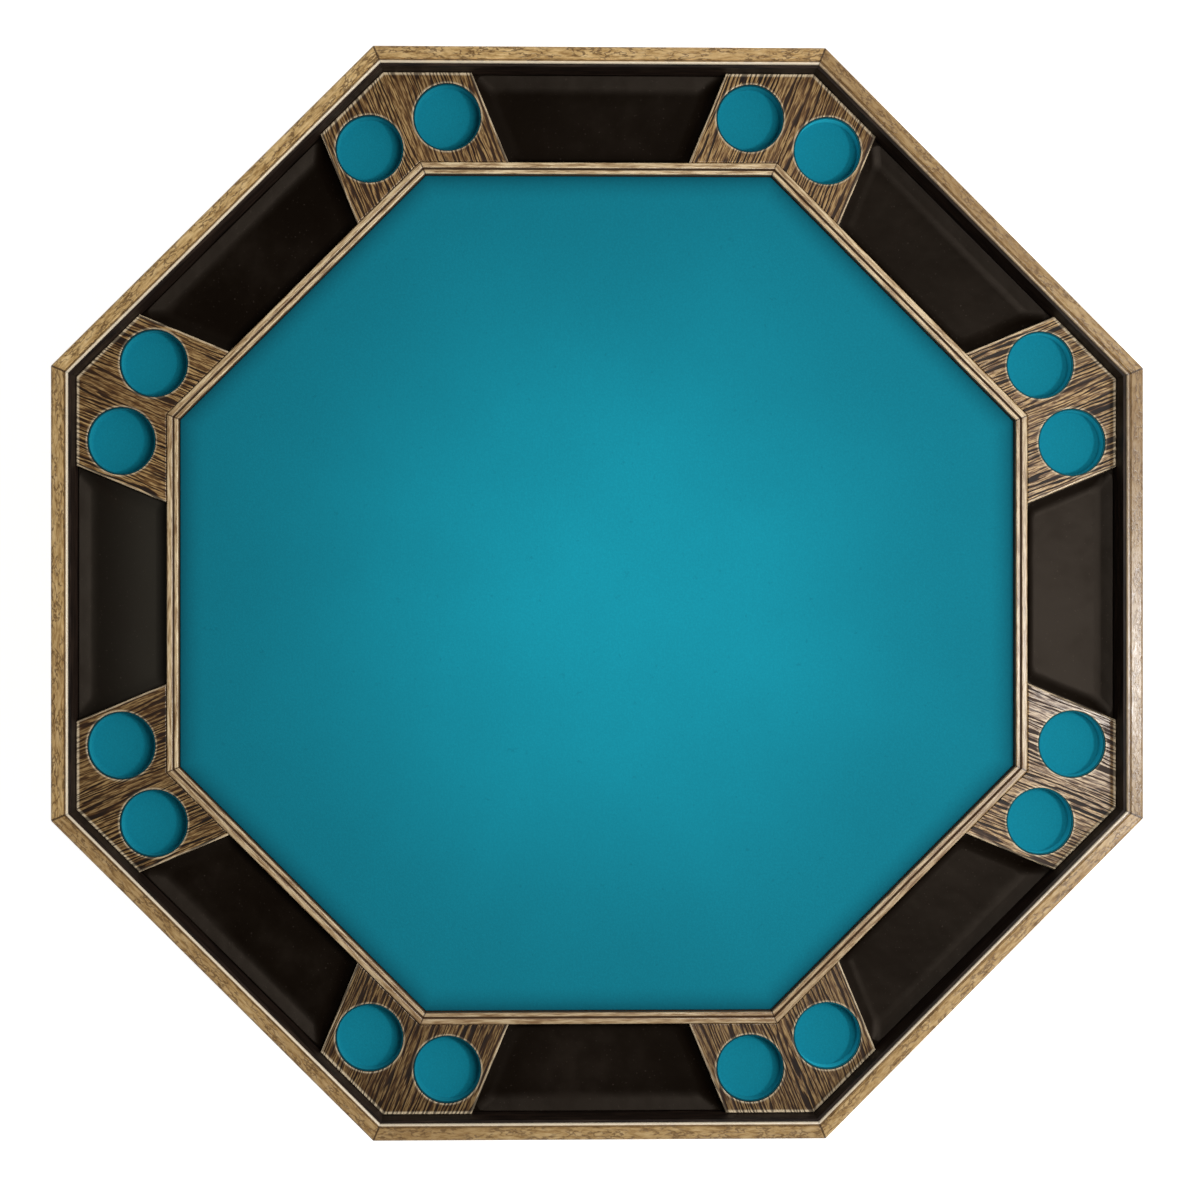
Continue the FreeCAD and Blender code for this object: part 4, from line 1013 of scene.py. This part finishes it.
# %% [markdown]
# ## Modelling helpers
#
# Each new piece starts as a primitive and is shaped in edit mode. An operator works on whatever is selected, and the
# frame's parts are still selected from loading, so every step first clears the selection and takes one piece alone.


# %% Helpers: taking a piece in hand
def start_clean():
    """Leaves edit mode and deselects everything."""
    if bpy.context.object and bpy.context.object.mode != "OBJECT":
        bpy.ops.object.mode_set(mode="OBJECT")
    bpy.ops.object.select_all(action="DESELECT")


def take(piece):
    """Selects one piece alone, in object mode."""
    start_clean()
    piece.select_set(True)
    bpy.context.view_layer.objects.active = piece


def edit(piece):
    """Opens a piece in edit mode with nothing selected."""
    take(piece)
    bpy.ops.object.mode_set(mode="EDIT")
    bpy.ops.mesh.select_all(action="DESELECT")


print("taking helpers ready")

# %% [markdown]
# In edit mode, points, edges and faces are picked by a test of their place or their normal. By hand this would be a
# box select. Two heights within a hundredth of a millimetre count as the same.

# %% Helpers: picking points, edges and faces
NEAR = 1e-5


def pick(piece, kind, test):
    """Selects the vertices, edges or faces of the piece in edit mode for which test is true."""
    bpy.ops.mesh.select_all(action="DESELECT")
    bpy.ops.mesh.select_mode(type=kind)
    shell = bmesh.from_edit_mesh(piece.data)
    for item in {"VERT": shell.verts, "EDGE": shell.edges, "FACE": shell.faces}[kind]:
        if test(item):
            item.select_set(True)
    shell.select_flush_mode()
    bmesh.update_edit_mesh(piece.data)


def everything(_item):
    """A test that picks all there is."""
    return True


def higher_than(z):
    """A test for edges that lie wholly above a height."""
    return lambda edge: all(v.co.z > z for v in edge.verts)


def borders_a_flat(edge):
    """Whether an edge lies between a level face and one that isn't level."""
    level = [abs(face.normal.z) > 0.999 for face in edge.link_faces]
    return len(level) == 2 and level[0] != level[1]


def middle(item):
    """The middle of an edge or a face."""
    points = [vert.co for vert in item.verts]
    return sum(points, Vector()) / len(points)


print("picking helpers ready")

# %% [markdown]
# The shaping steps that come back in piece after piece get a name too. A primitive is opened with its place and
# size applied to its mesh, so that every later measure is in the table's metres. Closing turns all faces outwards,
# because extruding a face down into itself can leave some inside out.


# %% Helpers: shaping
def open_new(name, size=(1, 1, 1)):
    """Names the primitive that was just added, applies its size and place, and opens it in edit mode."""
    piece = bpy.context.object
    piece.name = name
    piece.scale = size
    take(piece)
    bpy.ops.object.transform_apply(location=True, rotation=True, scale=True)
    edit(piece)
    return piece


def pull_up(height):
    """Extrudes what is selected straight up, or down when height is negative."""
    bpy.ops.mesh.extrude_region_move(TRANSFORM_OT_translate={"value": (0, 0, height)})


def round_off(width, segments):
    """Bevels the selected edges round."""
    bpy.ops.mesh.bevel(offset=width, segments=segments, profile=0.5, affect="EDGES")


def smooth(piece, angle):
    """Shades a piece smoothly, but keeps edges sharper than the angle in degrees."""
    take(piece)
    bpy.ops.object.shade_smooth_by_angle(angle=radians(angle))


def close_up(piece, angle):
    """Turns every face outwards, leaves edit mode and shades the piece smoothly."""
    bpy.ops.mesh.select_all(action="SELECT")
    bpy.ops.mesh.normals_make_consistent(inside=False)
    smooth(piece, angle)
    return piece


def apply_all(piece):
    """Applies a piece's modifiers in order."""
    take(piece)
    for modifier in list(piece.modifiers):
        bpy.ops.object.modifier_apply(modifier=modifier.name)


print("shaping helpers ready")

# %% [markdown]
# A piece that repeats is modelled once. Linked copies would save memory, but here each copy has a mesh of its own,
# turned to its side or moved to its spot, so that every piece stands at its own place.


# %% Helpers: copying and handing over
def copy_piece(piece, name, turn=0.0, shift=(0, 0, 0)):
    """A copy with its own mesh, turned about the table's middle and moved."""
    made = piece.copy()
    made.data = piece.data.copy()
    made.name = name
    made.data.name = name
    made.data.transform(Matrix.Translation(shift) @ Matrix.Rotation(turn, 4, "Z"))
    scene.collection.objects.link(made)
    return made


def copy_round(piece, name):
    """The piece of side 1 and its copies on the other sides."""
    return [piece] + [copy_piece(piece, f"{name}_{side + 1}", STEP * side) for side in range(1, SIDES)]


def copy_to_boxes(piece, name, boxes):
    """The piece of the first box and its copies in the middle of the others."""
    start = (boxes[0][0] + boxes[0][1]) / 2
    pieces = [piece]
    for number, (low, high) in enumerate(boxes[1:], start=2):
        shift = (low + high) / 2 - start
        pieces.append(copy_piece(piece, f"{name}_{number}", 0.0, (shift.x, shift.y, 0)))
    return pieces


def hand_over(piece, body, material, slot, *nodes):
    """Gives a finished piece its material and its body, and hides the frame's parts that it stands for. The slot is
    not used.
    """
    piece.data.materials.clear()
    piece.data.materials.append(material)
    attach(piece, body)
    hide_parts(*nodes)


print("copying helpers ready")

# %% [markdown]
# ## A chip tray
#
# A tray is sheet plastic drawn down into a mould, so it has no sharp corner anywhere: a narrow rim, a margin that
# slopes down in a soft curve, and a flat floor. The margin is widest at the back, under the rail. It could be lofted
# from two outlines. Here it is inset twice from one face, because the loops then line up and the corners can be
# bevelled round. An inset has the same width all round, so a helper then draws the back and the ends further in.


# %% Draw in the tray's floor
def shrink_floor(piece, back_extra, end_extra):
    """Draws the selected inner face's ends in by end_extra, and its back line forward by back_extra."""
    shell = bmesh.from_edit_mesh(piece.data)
    inner = next(face for face in shell.faces if face.select)
    corners = {tuple(round(c, 6) for c in v.co) for v in inner.verts}
    back = max(y for _x, y, _z in corners)
    front = min(y for _x, y, _z in corners)
    for y_line, slip in ((back, back_extra), (front, 0.0)):
        line = [corner for corner in corners if abs(corner[1] - y_line) < NEAR]
        half = max(x for x, _y, _z in line)
        less = slip * tan(HALF_STEP) + end_extra / cos(HALF_STEP)
        pick(piece, "VERT", lambda v: tuple(round(c, 6) for c in v.co) in line)
        bpy.ops.transform.resize(value=((half - less) / half, 1, 1))
        bpy.ops.transform.translate(value=(0, -slip, 0))


print("floor helper ready")

# %% [markdown]
# The tray's outline is a trapezium whose ends lean with the table's corners. The floor is lowered to the sheet's
# thickness above the base, the sloping corners, the floor's edge and the rim are rounded, and a skirt closes the
# shell below.


# %% Model one chip tray
def model_tray():
    """The tray of side 1, at its place."""
    rim_z = tray_high.z
    base_z = tray_low.z
    sheet_thickness = 0.0026
    floor_z = base_z + sheet_thickness
    rim_flat = 0.0012
    front_margin = 0.006
    back_extra = 0.009
    end_extra = 0.0055
    corner_round = 0.007
    floor_round = 0.0055
    rim_round = 0.0005
    depth = tray_high.y - tray_low.y
    middle_y = (tray_high.y + tray_low.y) / 2
    back_half = tray_high.x
    front_half = back_half - depth * tan(HALF_STEP)

    start_clean()
    bpy.ops.mesh.primitive_plane_add(size=1, location=(0, middle_y, rim_z))
    piece = open_new("Chip_tray_plastic_1", (2 * back_half, depth, 1))
    pick(piece, "VERT", lambda v: v.co.y < middle_y)
    bpy.ops.transform.resize(value=(front_half / back_half, 1, 1))
    pick(piece, "FACE", everything)
    bpy.ops.mesh.inset(thickness=rim_flat)
    bpy.ops.mesh.inset(thickness=front_margin)
    shrink_floor(piece, back_extra, end_extra)

    pick(piece, "FACE", lambda f: f.calc_area() > 0.5 * depth * 2 * front_half)
    bpy.ops.transform.translate(value=(0, 0, floor_z - rim_z))

    def slopes_down_a_corner(edge):
        heights = sorted(v.co.z for v in edge.verts)
        return heights[0] < floor_z + NEAR and heights[1] > rim_z - NEAR

    pick(piece, "EDGE", slopes_down_a_corner)
    round_off(corner_round, 5)
    pick(piece, "EDGE", lambda e: all(v.co.z < floor_z + NEAR for v in e.verts) and borders_a_flat(e))
    round_off(floor_round, 5)
    pick(piece, "EDGE", lambda e: e.is_boundary)
    pull_up(base_z - rim_z)
    bpy.ops.mesh.edge_face_add()
    pick(piece, "EDGE", lambda e: higher_than(rim_z - NEAR)(e) and borders_a_flat(e))
    round_off(rim_round, 3)
    return close_up(piece, 40)


first_tray = model_tray()
print(f"one tray of {len(first_tray.data.polygons)} faces")

# %% [markdown]
# Eight trays are alike, so seven copies of the first are turned to the other sides, and each takes the place of one
# rough tray of the frame.

# %% Copy the tray round
trays = copy_round(first_tray, "Chip_tray_plastic")
for side, tray in enumerate(trays):
    hand_over(tray, "poker_top", tray_plastic, "tray_plastic", f"chip_tray_{side + 1}")
print(f"{len(trays)} chip trays")

# %% [markdown]
# ## The playing felt
#
# One octagon of felt is glued to its board. Its edge is pressed down against the moulding by the roller, which
# leaves a soft rounded border. It could be cut from a square with four bisects, but a circle with eight vertices is
# an octagon already. It is extruded to the felt's thickness and its upper border is bevelled round.


# %% Model the playing felt
def model_octagon(name, reach, low_z, high_z, roundness):
    """An eight-sided sheet with a rounded upper border."""
    border = 0.012
    start_clean()
    bpy.ops.mesh.primitive_circle_add(
        vertices=SIDES,
        radius=reach / cos(HALF_STEP),
        fill_type="NGON",
        location=(0, 0, low_z),
        rotation=(0, 0, HALF_STEP),
    )
    piece = open_new(name)
    pick(piece, "FACE", everything)
    pull_up(high_z - low_z)
    bpy.ops.mesh.inset(thickness=border)
    pick(piece, "EDGE", lambda e: higher_than(high_z - NEAR)(e) and middle(e).xy.length > reach - border / 3)
    round_off(roundness, 4)
    return close_up(piece, 50)


def octagon_area(reach):
    """The area of an octagon, from its reach."""
    return SIDES * reach * reach * tan(HALF_STEP)


playing_sheet = model_octagon("Playing_felt_sheet", field_reach, field_low.z, field_high.z, 0.0016)
hand_over(playing_sheet, "poker_top", field_felt, "teal_felt", "playing_felt")
print(f"playing felt: {octagon_area(field_reach):.3f} square metres")

# %% [markdown]
# ## The cup linings
#
# Each well is lined with the same felt, floor and wall. A tube and a disc would leave a seam between them, so the
# lining starts as a disc, is extruded to the wall's height, inset by the felt's thickness and pushed back down. Felt
# can't make a sharp corner, so the floor's edge and the wall's top are bevelled.


# %% Model one cup lining and copy it to each well
def model_cup_lining():
    """The lining of the first well, at its place."""
    thick = 0.0015
    floor_round = 0.0022
    rim_round = 0.0006
    floor_z = cup_low.z + thick
    start_clean()
    bpy.ops.mesh.primitive_circle_add(
        vertices=80, radius=cup_radius, fill_type="NGON", location=(cup_middle.x, cup_middle.y, cup_low.z)
    )
    piece = open_new("Cup_felt_lining_1")
    pick(piece, "FACE", everything)
    pull_up(cup_high.z - cup_low.z)
    bpy.ops.mesh.inset(thickness=thick)
    pull_up(floor_z - cup_high.z)
    pick(piece, "EDGE", lambda e: all(abs(v.co.z - floor_z) < NEAR for v in e.verts))
    round_off(floor_round, 4)
    pick(piece, "EDGE", lambda e: higher_than(cup_high.z - NEAR)(e) and borders_a_flat(e))
    round_off(rim_round, 3)
    return close_up(piece, 50)


linings = copy_to_boxes(model_cup_lining(), "Cup_felt_lining", cup_boxes)
for lining in linings:
    hand_over(lining, "poker_top", cup_felt, "teal_felt", "cup_felts")
print(f"{len(linings)} cup linings")

# %% [markdown]
# ## Felt pads under the card top
#
# Eight thick felt pads keep the panel off the cabinet's rails. They are cut discs, slightly rounded by the punch. A
# cylinder would do as well, but a filled circle that is extruded and bevelled on both edges is made like the other
# felts.


# %% Model one rest pad and copy it round
def model_disc(name, low, high, roundness):
    """A round pad with rounded edges, in the box given by its corners."""
    spot = (low + high) / 2
    start_clean()
    bpy.ops.mesh.primitive_circle_add(
        vertices=56, radius=(high.x - low.x) / 2, fill_type="NGON", location=(spot.x, spot.y, low.z)
    )
    piece = open_new(name)
    pick(piece, "FACE", everything)
    pull_up(high.z - low.z)
    pick(piece, "EDGE", borders_a_flat)
    round_off(roundness, 3)
    return close_up(piece, 50)


pad_felt = make_small_part("Pad_felt", paint(74, 70, 66), paint(96, 92, 86), 0.95, 0.0, 0.0006)
pad_boxes = islands("top_rest_pads")
pad_low, pad_high = pad_boxes[0]
pads = copy_to_boxes(model_disc("Rest_pad_felt_1", pad_low, pad_high, 0.0008), "Rest_pad_felt", pad_boxes)
for pad in pads:
    hand_over(pad, "poker_top", pad_felt, "pad_felt", "top_rest_pads")

# %% [markdown]
# ## The pool bed's cloth
#
# The cloth covers the whole bed and is cut out round the two pockets, just inside each liner's flange. Cutting a
# hole by hand in an eight-sided face is fiddly, so a cylinder is subtracted with a Boolean modifier, which is
# applied at once.

# %% Model the bed cloth
bed_low, bed_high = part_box("bed_cloth")
flange_width = 0.0043
punch_length = 0.02
bed_sheet = model_octagon("Bed_cloth_sheet", bed_high.y, bed_low.z, bed_high.z, 0.0008)
for low, high in islands("pocket_liners"):
    spot = (low + high) / 2
    hole_radius = (high.x - low.x) / 2 - flange_width
    start_clean()
    bpy.ops.mesh.primitive_cylinder_add(
        vertices=96, radius=hole_radius, depth=punch_length, location=(spot.x, spot.y, bed_high.z)
    )
    punch = bpy.context.object
    cut = bed_sheet.modifiers.new("Pocket_hole", "BOOLEAN")
    cut.object = punch
    cut.operation = "DIFFERENCE"
    cut.solver = "EXACT"
    apply_all(bed_sheet)
    bpy.data.objects.remove(punch)
smooth(bed_sheet, 50)
hand_over(bed_sheet, "cabinet", bed_felt, "bed_cloth_teal", "bed_cloth")
print(f"bed cloth {2 * bed_high.y:.3f} m across")

# %% [markdown]
# ## The cushions
#
# A cushion is a strip of rubber with a nose, covered in cloth that is pulled tight and stapled behind. Its section
# is a wedge: tall at the root, a blunt nose a ball's radius and a bit above the bed. A box is a good start. Its front
# face is squeezed to the nose's height, the nose's edges are bevelled round, and two bisect cuts mitre the ends so
# that eight of them close into a ring.

# %% Find the cushions' noses
cushion_low, cushion_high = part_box("cushion_cloths")
nose_reach = min(
    v.co.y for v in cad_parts["cushion_cloths"].data.vertices if v.co.y > 0 and abs(v.co.x) < 0.42 * v.co.y
)
print(f"noses {1000 * nose_reach:.0f} mm from the middle")

# %% [markdown]
# The box is made a little too long, so that both mitre cuts have something to cut off.


# %% Model one cushion and copy it round
def model_cushion():
    """The covered cushion of side 1, at its place."""
    root_reach = cushion_high.y
    top = cushion_high.z
    bottom = cushion_low.z
    mid_z = (top + bottom) / 2
    nose_height = 0.035
    nose_half = 0.0037
    nose_round = 0.0030
    mitre_gap = 0.00012
    nose_z = bed_high.z + nose_height
    root_half = root_reach * tan(HALF_STEP)
    to_trim = 0.1
    start_clean()
    bpy.ops.mesh.primitive_cube_add(size=1, location=(0, (root_reach + nose_reach) / 2, mid_z))
    piece = open_new("Cushion_1", (2 * root_half + to_trim, root_reach - nose_reach, top - bottom))

    def at_nose(vert):
        return vert.co.y < nose_reach + NEAR

    pick(piece, "VERT", lambda v: at_nose(v) and v.co.z > mid_z)
    bpy.ops.transform.translate(value=(0, 0, nose_z + nose_half - top))
    pick(piece, "VERT", lambda v: at_nose(v) and v.co.z < mid_z)
    bpy.ops.transform.translate(value=(0, 0, nose_z - nose_half - bottom))
    pick(piece, "EDGE", lambda e: all(map(at_nose, e.verts)) and abs(e.verts[0].co.z - e.verts[1].co.z) < NEAR)
    round_off(nose_round, 5)
    for sign in (1, -1):
        bpy.ops.mesh.select_all(action="SELECT")
        bpy.ops.mesh.bisect(
            plane_co=(sign * (root_half - mitre_gap), root_reach, 0),
            plane_no=(sign * cos(HALF_STEP), -sin(HALF_STEP), 0),
            use_fill=True,
            clear_outer=True,
        )
    return close_up(piece, 40)


cushions = copy_round(model_cushion(), "Cushion")
for cushion in cushions:
    hand_over(cushion, "cabinet", bed_felt, "bed_cloth_teal", "cushion_cloths", "cushion_rubbers")
print(f"{len(cushions)} cushions of {len(cushions[0].data.polygons)} faces")

# %% [markdown]
# ## Felt in the ball boxes
#
# A strip of felt on each sloping box floor keeps the balls quiet. The frame's own felt has sharp corners, and the
# real strip is cut round. A plane is moved into place, its front edge is lowered to the floor's fall, its corners
# are bevelled, and a Solidify modifier gives the felt its thickness.


# %% Model the ball box felts
def model_box_felt(name, low, high, facing_y):
    """The sloping felt of one ball box. facing_y is +1 for the box on +Y and -1 for the one on -Y."""
    thick = 0.0015
    corner_round = 0.006
    spot = (low + high) / 2
    start_clean()
    bpy.ops.mesh.primitive_plane_add(size=1, location=(spot.x, spot.y, low.z + thick))
    piece = open_new(name, (high.x - low.x, high.y - low.y, 1))
    pick(piece, "VERT", lambda v: (v.co.y - spot.y) * facing_y < 0)
    bpy.ops.transform.translate(value=(0, 0, high.z - low.z - thick))
    pick(piece, "VERT", everything)
    bpy.ops.mesh.bevel(offset=corner_round, segments=4, affect="VERTICES")
    start_clean()
    body = piece.modifiers.new("Thickness", "SOLIDIFY")
    body.thickness = thick
    body.offset = -1.0
    apply_all(piece)
    smooth(piece, 40)
    return piece


box_felts = islands("ball_box_felts")
for number, (low, high) in enumerate(box_felts, start=1):
    facing_y = 1 if low.y + high.y > 0 else -1
    strip = model_box_felt(f"Ball_box_felt_{number}", low, high, facing_y)
    hand_over(strip, "cabinet", bed_felt, "bed_cloth_teal", "ball_box_felts")
print(f"{len(box_felts)} ball box felts")

# %% [markdown]
# ## Finishes for the frame's own parts
#
# Boards, legs and hardware keep the frame's exact shape and only get a material. Sixty lines could name each part,
# but parts of one kind share the beginning of their name, so a short table of beginnings says which part takes which
# finish. The parts that the new pieces stand for are left out.

# %% Give the frame's parts their finishes
FINISHES = {
    "outer_rail": rail_oak,
    "corner_block": block_oak,
    "inner_moulding": moulding_oak,
    "rail_lining": lining_stain,
    "top_panel": particle_board,
    "field_board": particle_board,
    "bed_board": particle_board,
    "end_aprons": cabinet_oak,
    "side_aprons": cabinet_oak,
    "leg_aprons": cabinet_oak,
    "top_rails": cabinet_oak,
    "leg_bolts": bolt_zinc,
    "leg_inserts": bolt_zinc,
    "leg_": leg_oak,
    "glue_blocks": block_pine,
    "bed_beams": beam_pine,
    "bed_ledgers": ledger_pine,
    "ball_box_front": box_plywood,
    "ball_box_back": box_plywood,
    "bumper_posts": post_plastic,
    "bumper_rings": ring_rubber,
    "bumper_screws": screw_zinc,
    "block_screws": screw_zinc,
    "pocket_liners": liner_plastic,
    "leveller": leveller_finish,
}
REPLACED = ("chip_tray", "playing_felt", "cup_felts", "top_rest_pads", "bed_cloth", "cushion_", "ball_box_felts")
finished = 0
for name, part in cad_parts.items():
    if name.startswith(REPLACED):
        continue
    match = next(start for start in FINISHES if name.startswith(start))
    part.data.materials.clear()
    part.data.materials.append(FINISHES[match])
    finished += 1
print(f"{finished} parts finished")

# %% [markdown]
# ## The floor
#
# The table stands on a plain pale floor. A curved paper backdrop would show a bend behind the table in low views, so
# this is a flat plane, large enough to meet the pale walls far off. It glows a little by itself, like a light box,
# so that the table's shadow stays faint.

# %% Floor
floor_size = 30
below_feet = 0.0005
start_clean()
bpy.ops.mesh.primitive_plane_add(size=floor_size, location=(0, 0, -below_feet))
floor = bpy.context.object
floor.name = "Studio_floor"
floor_finish, _tree, floor_shader = new_material("Studio_floor", roughness=0.9)
floor_shader.inputs["Base Color"].default_value = grey(0.90)
floor_shader.inputs["Specular IOR Level"].default_value = 0.0
floor_shader.inputs["Emission Color"].default_value = grey(1.0)
floor_shader.inputs["Emission Strength"].default_value = 0.75
floor.data.materials.append(floor_finish)
print("floor laid")

# %% [markdown]
# ## The room
#
# The room is the light itself: it is grey round the horizon, brightest about halfway up, and dim straight overhead.
# The flat floors of the trays mirror the dim ceiling and stay nearly black, while their sloping margins catch the
# bright part. The room is brighter on the +X side, as from a window. A low band all round is kept pale on every
# side, so that low views have a pale wall behind the table.

# %% Room
room = bpy.data.worlds.new("Studio_room")
room.use_nodes = True
scene.world = room
room_tree = room.node_tree
room_tree.nodes.clear()
direction = add(room_tree, "TexCoord").outputs["Generated"]
compass = add(room_tree, "SeparateXYZ", {"Vector": direction}).outputs
room_stops = [(0.0, grey(0.6)), (0.55, grey(0.5)), (0.80, grey(0.85)), (0.96, grey(0.05))]
room_shades = shades(room_tree, compass["Z"], room_stops)
pale_walls = fade(room_tree, compass["Z"], 0.16, 0.28, 1.1, 0.15)
window_side = sums(room_tree, "MULTIPLY_ADD", compass["X"], 0.9, 0.7)
strength = sums(room_tree, "MAXIMUM", window_side, pale_walls)
sky = add(room_tree, "Background", {"Color": room_shades, "Strength": strength})
add(room_tree, "OutputWorld", {"Surface": sky.outputs[0]})
scene.view_settings.view_transform = "Standard"
scene.view_settings.look = "None"
scene.view_settings.exposure = 0.0
print("room lit")

# %% [markdown]
# ## The lamps
#
# Two soft round lamps add to the room's light: one over the table lights the felt, and a smaller, stronger one high
# on the right gives the varnish its glare on that side. One very large lamp could do both, but its glare would
# spread over the whole rail.


# %% Lamps
def add_lamp(name, place, target, size, power):
    """A soft round lamp aimed at a point."""
    light = bpy.data.lights.new(name, "AREA")
    light.shape = "DISK"
    light.size = size
    light.energy = power
    lamp = bpy.data.objects.new(name, light)
    lamp.location = place
    lamp.rotation_euler = (Vector(target) - Vector(place)).to_track_quat("-Z", "Y").to_euler()
    scene.collection.objects.link(lamp)


add_lamp("Table_lamp", (0.45, 0.05, 2.3), (0.05, 0, 0.7), 0.7, 13)
add_lamp("Right_lamp", (1.33, -0.16, 2.80), (0.3, 0, 0.7), 0.26, 22)
print("two lamps hung")
